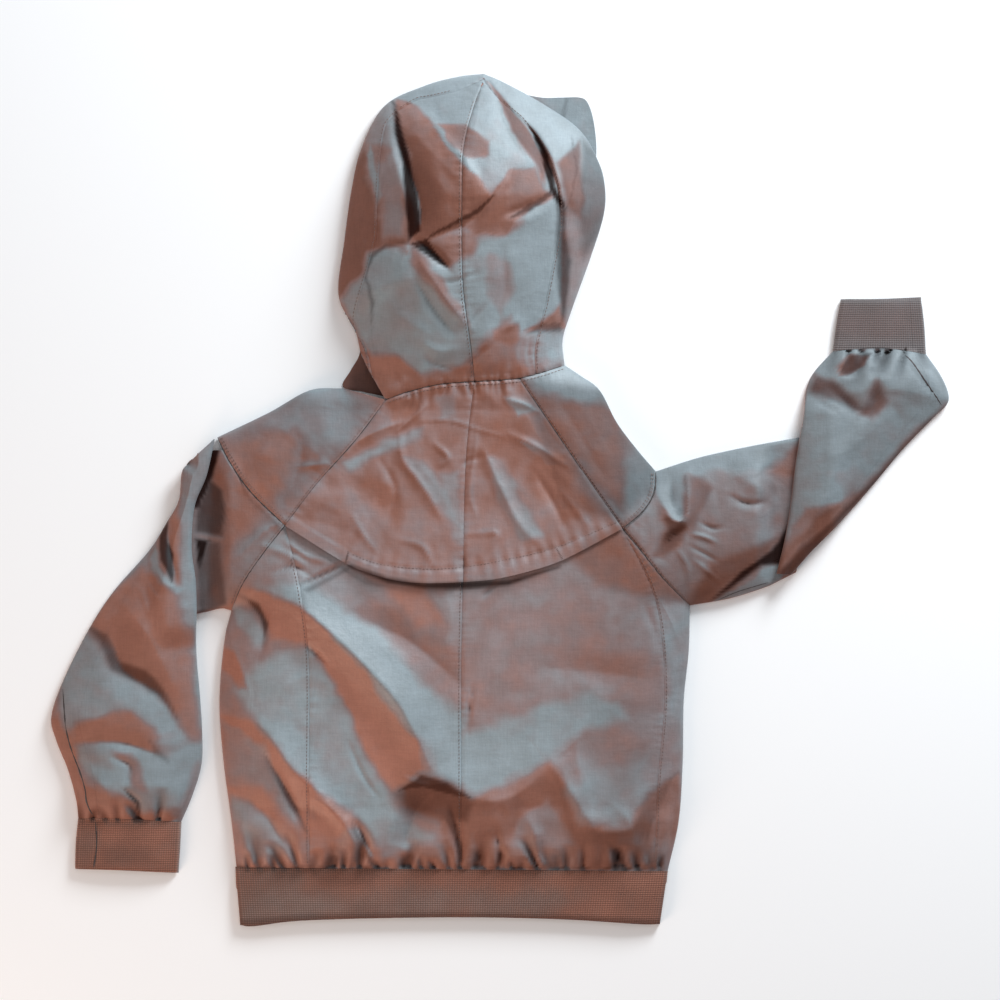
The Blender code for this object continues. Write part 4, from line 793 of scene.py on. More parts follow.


# Satin nylon: its tone runs from a painted warm-lit colour to a painted cool-lit one, plain weave with slubs, and
# painted shade that makes it dark and dull in hollows.
def makeNylon(name, lift=1.0):
    material, tree, shader, place = newMaterial(name, nylon["shader"])
    cloudy = noise(tree, place, 14.0, 4.0, Roughness=0.6)
    moved = maths(tree, "MULTIPLY", maths(tree, "SUBTRACT", cloudy, 0.5), nylon["cloudy"])
    tone = maths(tree, "ADD", attribute(tree, "tone"), moved)
    colours = [tuple(c * lift for c in nylon[key][:3]) + (1,) for key in ("warmLit", "taupe", "coolLit")]
    colour = ramp(tree, tone, list(zip(nylon["stops"], colours)))
    fine, coarse = nylon["slubs"]
    weft, warp = (noise(tree, node(tree, "Mapping", {"Vector": place, "Scale": scale}, "Vector"), 1.0, 2.0)
                  for scale in ((fine, coarse, 200.0), (coarse, fine, 200.0)))
    slubs = maths(tree, "ADD", weft, warp)
    shade = ramp(tree, maths(tree, "MULTIPLY", slubs, 0.5), [(0.36, 0.93), (0.64, 1.06)])
    colour = mixed(tree, "MULTIPLY", 1.0, colour, shade)
    blotch = ramp(tree, noise(tree, place, 46.0, 3.0), [(0.3, (0.88, 0.86, 0.86, 1)), (0.7, (1.08, 1.08, 1.1, 1))])
    colour = mixed(tree, "MULTIPLY", 0.8, colour, blotch)
    # Painted shade kept for each point of the mesh.
    paintedShade = attribute(tree, "paintedShade")
    gloss = ramp(tree, cloudy, list(zip((0.3, 0.7), nylon["roughness"])))
    bands = [wave(tree, place, way, bandScale(nylon["threadPitch"]), 0.6, {"Detail": 1.0}) for way in "XY"]
    weave = maths(tree, "ADD", maths(tree, "MULTIPLY", *bands), maths(tree, "MULTIPLY", slubs, 0.8))
    crumpled = bump(tree, noise(tree, place, 130.0, 5.0, Roughness=0.65), nylon["crumple"], 0.0012)
    # Painted shade: the colour is mixed towards the hollow colour, and the reflection dimmed, as far as the painted
    # shade value goes.
    finish(tree, shader, {
        "Base Color": mixed(tree, "MULTIPLY", paintedShade, colour, nylon["hollow"]),
        "Specular Tint": ramp(tree, paintedShade, [(0.35, 1.0), (0.95, 0.05)]),
        "Roughness": maths(tree, "ADD", gloss, maths(tree, "MULTIPLY", paintedShade, 0.5)),
        "Normal": bump(tree, weave, nylon["weave"], 0.0002, crumpled),
    })
    return material


knit = {
    # The first colour is painted shade between the ribs and between rows of stitches; the second is the knit on the
    # rib tops.
    "dark": (0.105, 0.048, 0.034, 1),
    "light": (0.27, 0.145, 0.108, 1),
    "cool": (0.100, 0.108, 0.116, 1),   # the right cuff, in blue light
    # Painted shade in hollows: the colour the knit is multiplied by there.
    "hollow": (0.35, 0.28, 0.26, 1),
    "course": 0.0022,                   # height of one row of stitches
    # Painted light: a warm tint at low tone and a cool tint at high tone.
    "tints": [(0.1, (1.30, 1.00, 0.84, 1)), (0.5, (1.06, 1.06, 1.06, 1)), (0.9, (1.04, 1.36, 1.55, 1))],
    "blotches": [(0.3, (0.8, 0.78, 0.78, 1)), (0.7, (1.16, 1.16, 1.18, 1))],
    "shader": {"Sheen Weight": 0.3, "Sheen Roughness": 0.6, "Specular IOR Level": 0.25, "Roughness": 0.8},
}


# Rib knit: painted shade between the mesh's ribs and between rows of stitches, tinted along the tone by painted warm
# and cool light, mixed towards painted blue light when a share is given, and painted shade in hollows.
def makeKnit(name, cool=0.0):
    material, tree, shader, place = newMaterial(name, knit["shader"])
    rib = maths(tree, "ADD", maths(tree, "MULTIPLY", attribute(tree, "rib"), 0.62), 0.38)
    course = wave(tree, place, "Y", bandScale(knit["course"]), 0.8, {"Detail": 2.0, "Detail Scale": 2.0})
    stitch = maths(tree, "MULTIPLY", rib, maths(tree, "ADD", maths(tree, "MULTIPLY", course, 0.7), 0.3))
    # Painted shade between the ribs and between rows of stitches.
    colour = ramp(tree, stitch, [(0.1, knit["dark"]), (0.9, knit["light"])])
    colour = mixed(tree, "MULTIPLY", 1.0, colour, ramp(tree, attribute(tree, "tone"), knit["tints"]))
    # Painted blue light on the right cuff.
    colour = mixed(tree, "MIX", cool, colour, knit["cool"]) if cool else colour
    colour = mixed(tree, "MULTIPLY", attribute(tree, "paintedShade"), colour, knit["hollow"])
    blotch = ramp(tree, noise(tree, place, 24.0, 4.0), knit["blotches"])
    fuzz = maths(tree, "MULTIPLY", noise(tree, place, 900.0, 3.0), 0.6)
    finish(tree, shader, {
        "Base Color": mixed(tree, "MULTIPLY", 0.8, colour, blotch),
        "Normal": bump(tree, maths(tree, "ADD", course, fuzz), 0.6, 0.0005),
    })
    return material


# Bands between two colours, raised where they are light.
def makeBanded(name, look, direction, scale, distortion, dark, light, strength, distance):
    material, tree, shader, place = newMaterial(name, look)
    bands = wave(tree, place, direction, scale, distortion, {})
    finish(tree, shader, {
        "Base Color": ramp(tree, bands, [(0.2, dark), (0.8, light)]),
        "Normal": bump(tree, bands, strength, distance),
    })
    return material


# Twisted sewing thread: diagonal bands along each stitch, seven tenths as light between them.
def makeThread(name, colour):
    dark = tuple(c * 0.7 for c in colour[:3]) + (1,)
    look = {"Roughness": 0.6, "Sheen Weight": 0.3}
    return makeBanded(name, look, "DIAGONAL", 500.0, 1.0, dark, colour, 0.4, 0.0001)


# Woven zip tape: fine bands across it.
def makeTape(name, dark, light):
    look = {"Roughness": 0.85, "Sheen Weight": 0.25}
    return makeBanded(name, look, "Y", 260.0, 0.4, dark, light, 0.5, 0.0003)


# Lacquered metal: fine scratches, with rubbed spots nearly twice as light and rougher.
def makeMetal(name, colour):
    material, tree, shader, place = newMaterial(name, {"Metallic": 1.0})
    worn = noise(tree, place, 180.0, 6.0, Roughness=0.7)
    light = tuple(min(1, c * 1.8) for c in colour[:3]) + (1,)
    finish(tree, shader, {
        "Base Color": ramp(tree, worn, [(0.45, colour), (0.75, light)]),
        "Roughness": ramp(tree, worn, [(0.3, 0.28), (0.7, 0.5)]),
        "Normal": bump(tree, worn, 0.2, 0.0002),
    })
    return material


materials = {
    "shell": makeNylon("satin nylon", 1.09),
    "knit": makeKnit("rib knit"),
    # The right cuff's knit, with painted blue light.
    "knitCool": makeKnit("rib knit, cuff", 0.62),
    "tape": makeTape("zip tape weave", (0.10, 0.055, 0.045, 1), (0.19, 0.11, 0.09, 1)),
    "teeth": makeMetal("zip teeth", (0.16, 0.12, 0.10, 1)),
    "slider": makeMetal("zip slider lacquer", (0.22, 0.18, 0.16, 1)),
    "thread": makeThread("sewing thread", (0.17, 0.085, 0.065, 1)),
    # Painted shadow: the colour of the dark strips laid in the seams' ditches.
    "ditch": makeThread("seam shadow strip", (0.035, 0.022, 0.02, 1)),
}
print("materials made:", len(materials))


# Shells of cloth, their colour with its painted light, and their painted shade.

# Painted light by slope: cloth facing up and right takes the cool-lit colour, cloth facing down and left the warm-lit
# one.
slopeLightLook = {"right": 0.50, "up": 0.86, "gain": 1.15, "reach": 2.1}
# Painted shade in narrow hollows: how it is smoothed, and the depths at which it starts and is full.
pitLook = {"rounds": 10, "least": 0.9, "most": 4.5}  # smoothing rounds; depths in millimetres of no and full dark
sharpEdge = math.radians(62)


# Outward directions of a grid from the cross product of its steps along columns and rows.
def gridNormals(p, sign):
    return unit(np.cross(np.gradient(p, axis=1), np.gradient(p, axis=0)) * sign)


# A mesh from points in millimetres: the jacket's middle moved to the origin, then all made metres.
def meshOf(name, points, faces, smooth=True):
    points[:, :2] += shift
    mesh = bpy.data.meshes.new(name)
    mesh.from_pydata((points * mm).tolist(), [], faces)
    mesh.polygons.foreach_set("use_smooth", np.full(len(faces), smooth))
    return mesh


# A thin shell: the grid, a second one a cloth's thickness inside it, and a rim of faces all round.
def shellMesh(name, p, thick, sign, attributes=None):
    rows, columns = p.shape[:2]
    n = gridNormals(p, sign)
    points = np.concatenate([p.reshape(-1, 3), (p - n * thick).reshape(-1, 3)])
    ids = np.arange(rows * columns).reshape(rows, columns)
    quads = np.stack([ids[:-1, :-1], ids[:-1, 1:], ids[1:, 1:], ids[1:, :-1]], -1).reshape(-1, 4)
    ring = np.concatenate([ids[0], ids[1:, -1], ids[-1, -2::-1], ids[-2:0:-1, 0]])
    after = np.roll(ring, -1)
    rim = np.stack([after, ring, ring + rows * columns, after + rows * columns], -1)
    faces = np.concatenate([quads, quads[:, ::-1] + rows * columns, rim])
    mesh = meshOf(name, points, (faces if sign > 0 else faces[:, ::-1]).tolist())
    mesh.set_sharp_from_angle(angle=sharpEdge)
    # Painted light: the tone follows how far the cloth faces up and right, towards the cool light, or down and left,
    # towards the warm one.
    slope = n[..., 0] * slopeLightLook["right"] + n[..., 1] * slopeLightLook["up"]
    tone = 0.5 + 0.5 * np.tanh(slopeLightLook["reach"] * slope * slopeLightLook["gain"])
    shown = (n[..., 2] > 0) | name.startswith("hood_rim")
    tone = np.where(shown, paintedLightTone(name, p[..., 0], p[..., 1], tone), tone)
    # Painted shade on the cloth that faces up: in narrow hollows, in the painted shadow shapes, on turned cloth and
    # in tucks.
    paintedShade = np.where(shown, withPaintedShade(name, p[..., 0], p[..., 1], paintedHollowShade(p, n), tone), 0)
    for key, value in {"tone": np.clip(tone, 0, 1), "paintedShade": paintedShade, **(attributes or {})}.items():
        made = mesh.attributes.new(key, "FLOAT", "POINT")
        made.data.foreach_set("value", np.tile(value.reshape(-1), 2).astype(np.float32))
    return mesh


# Painted shade in a narrow hollow: the share of its depth below the mean of the cloth around it.
def paintedHollowShade(p, n):
    z = p[..., 2]
    wide = z.copy()
    for _ in range(pitLook["rounds"]):
        wide[1:-1] = (wide[:-2] + wide[1:-1] * 2 + wide[2:]) / 4
        wide[:, 1:-1] = (wide[:, :-2] + wide[:, 1:-1] * 2 + wide[:, 2:]) / 4
    return np.clip((wide - z - pitLook["least"]) / pitLook["most"], 0, 1) * (n[..., 2] > 0.1)


# Outlines of the hollows that both tables below use.
outlines = {
    "spine": [(-10, 418), (26, 373), (45, 339), (47, 311), (36, 332), (13, 364), (-1, 399)],
    "hoodFold": [(58, 334), (81, 360), (83, 300), (80, 280), (67, 289)],
    "backFold": [(-150, -108), (-96, -104), (-77, -144), (-35, -176), (-35, -190), (-70, -175), (-96, -146)],
    "yokeFoot": [(166, -32), (181, -23), (186, -25), (183, -40), (164, -56), (153, -56)],
    "armFold": [(188, 25), (203, 24), (212, 12), (203, -4), (190, -34), (187, 3)],
    "underarm": [(212, -62), (279, -36), (270, -53), (244, -71), (214, -95), (192, -105), (192, -90)],
    "elbow": [(314, 125), (335, 118), (357, 94), (366, 90), (353, 88), (331, 99), (309, 107)],
    "forearm": [(377, 127), (381, 107), (385, 99), (370, 81), (357, 86), (366, 99), (370, 116)],
}

# Painted light: the colour that the warm or the cool light gives the cloth where it lies turned one way: each row is
# (tone, soft edge, outline), 0 the warm-lit colour and 1 the cool-lit one, and it takes the place of most of the tone
# that the slope gives.
paintedLightShapes = {}
paintedLightShapes["main"] = [
    (0.5, 14, [(-290, -80), (190, -80), (190, -372), (-290, -372)]),
    (0.86, 5, [(-108, 402), (-80, 415), (-24, 427), (-28, 412), (-35, 394), (-33, 373), (-60, 371), (-79, 396)]),
    (0.68, 3, [(-108, 400), (-124, 385), (-132, 364), (-131, 344), (-117, 298), (-115, 261), (-95, 259), (-95, 320),
        (-104, 362)]),
    (0.12, 3, [(-133, 352), (-115, 354), (-108, 348), (-111, 337), (-129, 337)]),
    (0.1, 3, [(-136, 355), (-133, 316), (-117, 261), (-127, 243), (-138, 224), (-164, 206), (-156, 279),
        (-148, 330)]),
    (0.95, 2, [(-134, 342), (-128, 352), (-117, 300), (-121, 292)]),
    (0.05, 2, [(-104, 402), (-79, 392), (-62, 366), (-40, 339), (-24, 318), (-10, 298), (-35, 272), (-67, 256),
        (-79, 250), (-90, 254), (-78, 270), (-79, 293), (-88, 341), (-104, 380)]),
    (1.0, 1.5, [(-65, 369), (-56, 364), (-33, 339), (-24, 320), (-29, 323), (-43, 339)]),
    (0.1, 2, [(-60, 370), (-33, 371), (-10, 355), (-10, 339), (-33, 337), (-46, 350)]),
    (0.62, 4, [(-10, 417), (-28, 373), (4, 348), (26, 334), (6, 364)]),
    (0.05, 2, outlines["spine"]),
    (0.62, 5, [(83, 360), (104, 345), (112, 300), (104, 280), (88, 290), (84, 330)]),
    (0.97, 3, [(-9, 422), (29, 410), (55, 396), (85, 368), (100, 345), (96, 330), (83, 356), (72, 346), (58, 334),
        (36, 371), (20, 385)]),
    (0.15, 3, outlines["hoodFold"]),
    (0.48, 5, [(72, 279), (104, 291), (83, 233), (63, 172), (66, 233)]),
    (0.1, 2, [(-35, 272), (-10, 298), (10, 325), (36, 330), (47, 307), (56, 302), (36, 288), (13, 275), (6, 259),
        (-22, 261)]),
    (0.32, 4, [(-67, 256), (-35, 272), (-22, 262), (-27, 243), (-50, 232), (-70, 250)]),
    (1.12, 4, [(-131, 243), (-113, 249), (-86, 245), (-74, 233), (-51, 229), (-28, 243), (-22, 256), (8, 259),
        (36, 288), (55, 298), (58, 210), (61, 197), (24, 167), (13, 185), (-10, 167), (-22, 146), (-42, 132),
        (-79, 126), (-108, 142), (-128, 144), (-146, 176), (-162, 201), (-136, 222)]),
    (0.08, 3, [(-84, 246), (-74, 236), (-58, 220), (-42, 198), (-28, 172), (-46, 186), (-62, 204), (-78, 222),
        (-88, 236)]),
    (0.36, 4, [(-12, 243), (13, 233), (13, 201), (1, 181), (-10, 201)]),
    (0.08, 3, [(-6, 169), (20, 174), (20, 158), (10, 151), (-6, 160)]),
    (0.08, 2, [(26, 167), (60, 192), (66, 173)]),
    (0.06, 4, [(-142, 150), (-106, 142), (-74, 121), (-42, 116), (-70, 106), (-112, 100), (-128, 128)]),
    (0.22, 5, [(-72, 142), (-60, 123), (-24, 132), (-1, 126), (22, 135), (67, 137), (29, 122), (-10, 115),
        (-47, 114)]),
    (0.28, 8, [(-113, 100), (20, 121), (122, -28), (60, -60), (-36, -81), (-120, -75), (-213, -25)]),
    (0.12, 9, [(-26, 82), (24, 80), (30, 34), (6, 18), (-20, 46)]),
    (0.95, 4, [(-160, 37), (-121, 56), (-77, 74), (-80, 60), (-102, 52), (-128, 42), (-150, 27)]),
    (0.84, 3, [(-96, 43), (-77, 40), (-51, 10), (-40, -30), (-60, -10), (-80, 20)]),
    (0.74, 3, [(-58, 26), (-42, 26), (-34, -30), (-36, -46), (-48, -40)]),
    (0.8, 3, [(-13, 47), (2, 40), (22, 2), (44, -36), (22, -40), (-3, -1)]),
    (0.92, 2, [(2, 104), (19, 99), (36, 90), (16, 82)]),
    (0.9, 2, [(19, 60), (42, 54), (67, 36), (50, 34), (34, 48)]),
    (0.1, 6, [(-147, 15), (-102, -27), (-90, -5), (-130, 30)]),
    (0.08, 6, [(30, 52), (66, 46), (94, -10), (62, -22), (25, 16)]),
    (0.72, 3, [(-64, 106), (-45, 106), (-45, 82), (-60, 80)]),
    (0.08, 4, [(-112, 100), (-83, 100), (-85, 82), (-105, 80)]),
    (0.68, 6, [(-204, 104), (-157, 112), (-121, 98), (-147, 63), (-198, 56)]),
    (0.18, 8, [(-280, 63), (-204, 72), (-201, 40), (-220, 15), (-252, -14)]),
    (0.5, 8, [(-290, 68), (-240, 95), (-200, 110), (-200, 92), (-240, 66)]),
    (0.58, 6, [(-214, 40), (-200, 44), (-190, 10), (-204, 4)]),
    (0.08, 6, [(22, 112), (58, 101), (114, 96), (130, 60), (122, -8), (100, 10), (67, 54)]),
    (0.6, 5, [(114, 88), (156, 31), (146, 15), (122, 52)]),
    (0.82, 4, [(19, 122), (65, 137), (105, 117), (111, 90), (51, 110)]),
    (0.62, 6, [(-260, -60), (-215, -28), (-160, -60), (-190, -82), (-250, -90)]),
    (0.12, 5, [(-147, -66), (-77, -84), (-54, -122), (-80, -129), (-109, -90)]),
    (0.62, 6, [(-51, -84), (-13, -84), (-23, -140), (-54, -140)]),
    (0.1, 6, [(67, -55), (115, -28), (192, -102), (162, -98), (99, -82)]),
    (0.4, 5, outlines["backFold"]),
    (0.34, 10, [(44, -144), (172, -153), (162, -208), (130, -195), (77, -173)]),
    (0.76, 6, [(156, -112), (188, -128), (190, -176), (172, -208), (166, -160)]),
    (0.84, 8, [(67, -284), (146, -255), (140, -300), (115, -319), (80, -316)]),
    (0.98, 6, [(-246, -86), (-195, -83), (-147, -112), (-109, -144), (-77, -182), (-35, -208), (-35, -233),
        (51, -201), (89, -192), (115, -201), (124, -217), (83, -227), (44, -259), (-23, -290), (-48, -278),
        (-64, -271), (-70, -246), (-109, -208), (-134, -169), (-195, -109)]),
    (0.0, 3, [(-259, -90), (-236, -93), (-195, -107), (-134, -171), (-109, -208), (-83, -239), (-77, -265),
        (-93, -278), (-109, -290), (-128, -259), (-147, -217), (-172, -166), (-195, -141), (-227, -137),
        (-231, -118)]),
    (0.96, 5, [(-217, -150), (-192, -146), (-170, -170), (-147, -220), (-128, -262), (-109, -292), (-93, -315),
        (-64, -335), (-115, -358), (-134, -322), (-179, -287), (-236, -228), (-262, -190), (-246, -170)]),
    (0.02, 3, [(-284, -211), (-252, -217), (-236, -233), (-204, -268), (-179, -290), (-147, -310), (-134, -326),
        (-153, -326), (-166, -354), (-176, -364), (-195, -335), (-214, -287), (-233, -246), (-265, -223)]),
    (0.55, 4, [(-272, -223), (-233, -246), (-214, -287), (-201, -316), (-236, -284), (-270, -271)]),
    (0.1, 4, [(-270, -284), (-236, -284), (-195, -335), (-204, -360), (-223, -322), (-249, -300), (-270, -303)]),
    (0.74, 4, [(-268, -297), (-243, -303), (-217, -335), (-208, -354), (-240, -356), (-264, -316)]),
    (0.85, 3, [(-268, -101), (-246, -112), (-233, -137), (-243, -147), (-257, -128)]),
    (0.03, 2, [(-278, -144), (-265, -150), (-249, -188), (-259, -188), (-278, -166)]),
    (0.06, 3, [(-96, -284), (-80, -271), (-51, -281), (-26, -300), (-26, -322), (-35, -360), (-48, -360), (-58, -322),
        (-93, -303)]),
    (0.12, 3, [(-23, -294), (13, -281), (48, -259), (61, -271), (77, -326), (130, -326), (147, -290), (178, -271),
        (186, -322), (174, -370), (77, -370), (70, -329), (48, -297), (19, -316), (3, -364), (-19, -364),
        (-29, -322)]),
    (0.5, 4, [(19, -316), (48, -300), (67, -332), (70, -366), (13, -364)]),
    (0.8, 3, [(140, -358), (156, -335), (169, -370)]),
]
paintedLightShapes["upper_sleeve_left"] = [
    (0.55, 3, [(-289, 23), (-273, 8), (-272, -22), (-279, -38), (-304, -32), (-304, -7)]),
    (0.55, 3, [(-305, -34), (-276, -34), (-270, -104), (-301, -116)]),
    (0.12, 6, [(-262, 30), (-225, 0), (-262, -40), (-272, -60), (-266, -10)]),
    (0.62, 5, [(-262, -40), (-218, -28), (-262, -100), (-280, -96)]),
]
paintedLightShapes["lower_sleeve_left"] = [
    (0.72, 4, [(-317, 40), (-280, 66), (-302, -20), (-302, -110), (-316, -105), (-316, -20), (-318, 12)]),
    (0.08, 3, [(-331, -14), (-319, 4), (-320, -50), (-316, -82), (-322, -86), (-326, -50)]),
    (0.9, 2, [(-344, -44), (-338, -65), (-324, -84), (-314, -87), (-322, -92), (-340, -81), (-348, -59)]),
    (0.03, 5, [(-406, -104), (-356, -68), (-338, -75), (-322, -96), (-310, -133), (-298, -237), (-307, -240),
        (-325, -212), (-338, -182), (-356, -166), (-380, -157), (-406, -124)]),
    (0.9, 4, [(-418, -127), (-399, -145), (-383, -173), (-356, -188), (-331, -206), (-319, -231), (-338, -231),
        (-368, -209), (-405, -218), (-436, -234), (-440, -176)]),
    (0.14, 4, [(-420, -221), (-368, -209), (-338, -234), (-344, -249), (-377, -240), (-423, -240)]),
    (0.92, 4, [(-426, -246), (-377, -240), (-331, -258), (-307, -243), (-297, -246), (-318, -304), (-356, -310),
        (-368, -295), (-393, -286), (-420, -261)]),
    (0.16, 3, [(-386, -249), (-366, -252), (-353, -268), (-350, -290), (-364, -288), (-371, -267)]),
    (0.05, 3, [(-428, -246), (-414, -283), (-374, -307), (-362, -321), (-424, -321), (-446, -225), (-440, -215)]),
]
paintedLightShapes["upper_sleeve_right"] = [
    (0.56, 8, [(190, 22), (300, 40), (300, -60), (190, -105), (150, -60)]),
    (0.9, 4, [(153, 31), (305, 70), (298, 55), (270, 33), (192, 29), (150, 20)]),
    (0.88, 2, [(153, 25), (183, 27), (183, -14), (179, -21), (173, -19), (155, 12)]),
    (0.14, 3, outlines["yokeFoot"]),
    (0.28, 3, outlines["armFold"]),
    (0.16, 5, [(266, 29), (298, 49), (296, 25), (274, 25)]),
    (0.76, 5, [(279, 14), (298, 5), (290, -25), (270, -10)]),
    (0.1, 4, outlines["underarm"]),
    (0.95, 2, [(225, -93), (264, -68), (282, -62), (280, -86), (244, -96), (212, -104)]),
]
paintedLightShapes["lower_sleeve_right"] = [
    (1.08, 6, [(288, 62), (303, 110), (312, 136), (335, 152), (425, 152), (452, 110), (436, 85), (389, 30), (368, 10),
        (320, -20), (285, -60), (280, -20)]),
    (0.08, 2, [(338, 133), (348, 146), (366, 146), (363, 133), (348, 122), (340, 122)]),
    (1.0, 1.5, [(340, 121), (357, 128), (372, 143), (376, 146), (373, 141), (362, 126), (348, 117)]),
    (0.2, 4, outlines["elbow"]),
    (0.2, 4, outlines["forearm"]),
    (0.1, 4, [(446, 94), (406, 50), (362, 4), (284, -80), (276, -66), (292, -36), (318, -16), (348, 3), (379, 33),
        (418, 74)]),
    (0.14, 3, [(290, -25), (303, -8), (335, -3), (348, 1), (314, -29), (281, -60), (284, -40)]),
    (0.45, 6, [(326, 30), (350, 36), (370, 16), (345, 1)]),
]
paintedLightShapes["hem_rib"] = [
    (0.1, 8, [(-195, -366), (170, -370), (165, -391), (-195, -388)]),
    (0.15, 8, [(60, -370), (170, -370), (165, -428), (60, -424)]),
    (0.66, 9, [(-200, -394), (90, -392), (60, -410), (-200, -416)]),
    (0.86, 8, [(-256, -394), (-200, -386), (-160, -404), (-190, -418), (-262, -422)]),
]
paintedLightShapes["cuff_left"] = [
    (0.12, 9, [(-424, -318), (-318, -318), (-318, -374), (-424, -374)]),
    (0.02, 4, [(-398, -326), (-330, -332), (-330, -341), (-396, -338)]),
    (0.55, 7, [(-424, -340), (-408, -338), (-404, -372), (-424, -372)]),
]
paintedLightShapes["cuff_right"] = [
    (0.9, 5, [(330, 148), (430, 146), (430, 160), (330, 164)]),
    (0.3, 7, [(345, 192), (410, 190), (416, 168), (340, 170)]),
    (0.95, 2, [(330, 196), (430, 197), (430, 207), (330, 207)]),
]
paintedLightShapes["hood_rim"] = [
    (0.95, 4, [(-60, 330), (-60, 420), (110, 420), (110, 300)]),
    (0.1, 4, [(-180, 170), (-90, 170), (-90, 60), (-180, 60)]),
]

# Painted shade and shadow in the deepest hollows, gaps and folds, under the cape's hem and along the band: each row
# is (darkness, soft edge, outline).
paintedShadowShapes = {}
paintedShadowShapes["main"] = [
    (1.0, 2.6, [(-107, 400), (-99, 380), (-88, 335), (-79, 293), (-77, 265), (-90, 256), (-92, 279), (-95, 325),
        (-104, 364)]),
    (0.3, 8, [(-98, 390), (-66, 366), (-40, 330), (-30, 290), (-67, 262), (-78, 300)]),
    (1.0, 2, [(28, 374), (40, 360), (49, 341), (55, 311), (68, 287), (56, 293), (49, 307), (42, 337)]),
    (0.72, 3, [(56, 302), (67, 289), (65, 265), (72, 238), (63, 172), (58, 210), (55, 256)]),
    (0.8, 1.2, [(-72, 257), (-48, 268), (-20, 282), (-4, 300), (-8, 300), (-24, 286), (-50, 272), (-72, 260)]),
    (0.9, 1.4, [(-88, 254), (-72, 258), (-62, 244), (-51, 229), (-58, 232), (-76, 244)]),
    (0.7, 1.4, [(6, 276), (30, 284), (57, 304), (54, 308), (28, 292)]),
    (0.6, 2, [(26, 165), (62, 168), (62, 178), (40, 176)]),
    (0.5, 1.6, [(-132, 222), (-126, 240), (-112, 250), (-88, 254), (-88, 257), (-114, 254), (-130, 243)]),
    (0.45, 1.6, [(-128, 168), (-128, 196), (-134, 222), (-131, 222), (-124, 196)]),
    (0.55, 2, [(72, 362), (80, 330), (70, 292), (67, 292), (74, 330)]),
    (0.75, 2, [(-262, -94), (-240, -102), (-230, -122), (-232, -136), (-239, -116), (-252, -100)]),
    (0.52, 6, [(83, 360), (104, 345), (112, 300), (104, 270), (84, 240), (76, 290)]),
    (0.47, 8, [(20, 122), (110, 112), (160, 34), (152, 5), (118, -20), (60, -10)]),
    (0.28, 9, [(-280, 60), (-204, 108), (-120, 100), (-150, 50), (-215, -10)]),
    (0.3, 7, [(67, -52), (118, -24), (190, -100), (160, -104), (99, -84)]),
    (0.14, 8, [(-108, 402), (-80, 415), (-10, 420), (-10, 350), (-50, 360), (-79, 390)]),
    (0.62, 9, [(-106, -292), (-80, -270), (-51, -276), (-22, -300), (-30, -322), (-58, -320), (-94, -310)]),
    (0.85, 3, [(-103, -290), (-78, -271), (-52, -278), (-24, -297), (-50, -293), (-76, -286)]),
    (0.6, 3, [(-72, -296), (-52, -304), (-42, -330), (-38, -352), (-48, -330), (-60, -310)]),
    (0.5, 3, outlines["spine"]),
    (0.42, 3, outlines["hoodFold"]),
    (0.3, 4, [(-58, 368), (-33, 371), (-10, 355), (-10, 339), (-33, 337), (-46, 350)]),
    (0.3, 6, [(10, 325), (36, 334), (50, 310), (36, 290), (10, 290)]),
    (0.55, 2, [(-92, -287), (-64, -290), (-45, -305), (-38, -330), (-36, -362), (-42, -362), (-46, -330), (-56, -303),
        (-78, -294)]),
    (0.38, 5, [(48, -262), (61, -271), (77, -326), (130, -326), (147, -290), (178, -271), (160, -310), (140, -345),
        (70, -345)]),
    (0.45, 2, [(142, -355), (148, -320), (168, -284), (178, -272), (160, -300), (150, -330)]),
    (0.4, 1.5, [(-233, -250), (-205, -300), (-190, -330), (-194, -330), (-212, -298)]),
    (0.45, 1.5, [(-147, -318), (-122, -364), (-128, -364), (-146, -328)]),
    (0.18, 5, outlines["backFold"]),
    (0.4, 2, [(-194, -88), (-150, -66), (-150, -70), (-190, -92)]),
    (0.2, 7, [(-290, 66), (-240, 92), (-200, 104), (-220, 76)]),
    (0.8, 2.5, [(-150, -66), (-110, -82), (-75, -88), (-30, -88), (8, -84), (60, -66), (8, -79), (-75, -82),
        (-110, -76), (-150, -62)]),
]
paintedShadowShapes["upper_sleeve_left"] = [
    (1.0, 2.6, [(-278, 66), (-281, 38), (-289, 16), (-301, -8), (-308, -8), (-300, 20), (-290, 50)]),
    (0.7, 3.5, [(-290, 22), (-276, 10), (-272, -14), (-277, -36), (-304, -32), (-302, -7)]),
    (1.0, 2.4, [(-304, -38), (-289, -40), (-301, -73)]),
    (0.55, 4, [(-302, -40), (-278, -42), (-272, -104), (-301, -116)]),
]
paintedShadowShapes["lower_sleeve_left"] = [
    (0.85, 1.6, [(-331, -20), (-339, -35), (-338, -59), (-324, -83), (-325, -53), (-330, -41)]),
    (0.65, 4, [(-414, -124), (-390, -133), (-377, -160), (-350, -169), (-334, -188), (-320, -218), (-331, -203),
        (-359, -182), (-387, -169), (-399, -142)]),
    (0.35, 2, [(-350, -236), (-330, -256), (-328, -262), (-342, -254)]),
    (0.75, 1.2, [(-373, -287), (-358, -301), (-359, -321), (-362, -321), (-363, -302)]),
]
paintedShadowShapes["upper_sleeve_right"] = [
    (1.0, 3.0, [(284, -30), (293, -20), (282, -64), (261, -65), (227, -91), (208, -102), (240, -70), (272, -49)]),
    (0.5, 4, outlines["yokeFoot"]),
    (0.28, 4, outlines["armFold"]),
    (0.45, 6, outlines["underarm"]),
    (0.35, 1.5, [(184, 26), (187, 24), (187, -12), (181, -22), (185, -10)]),
]
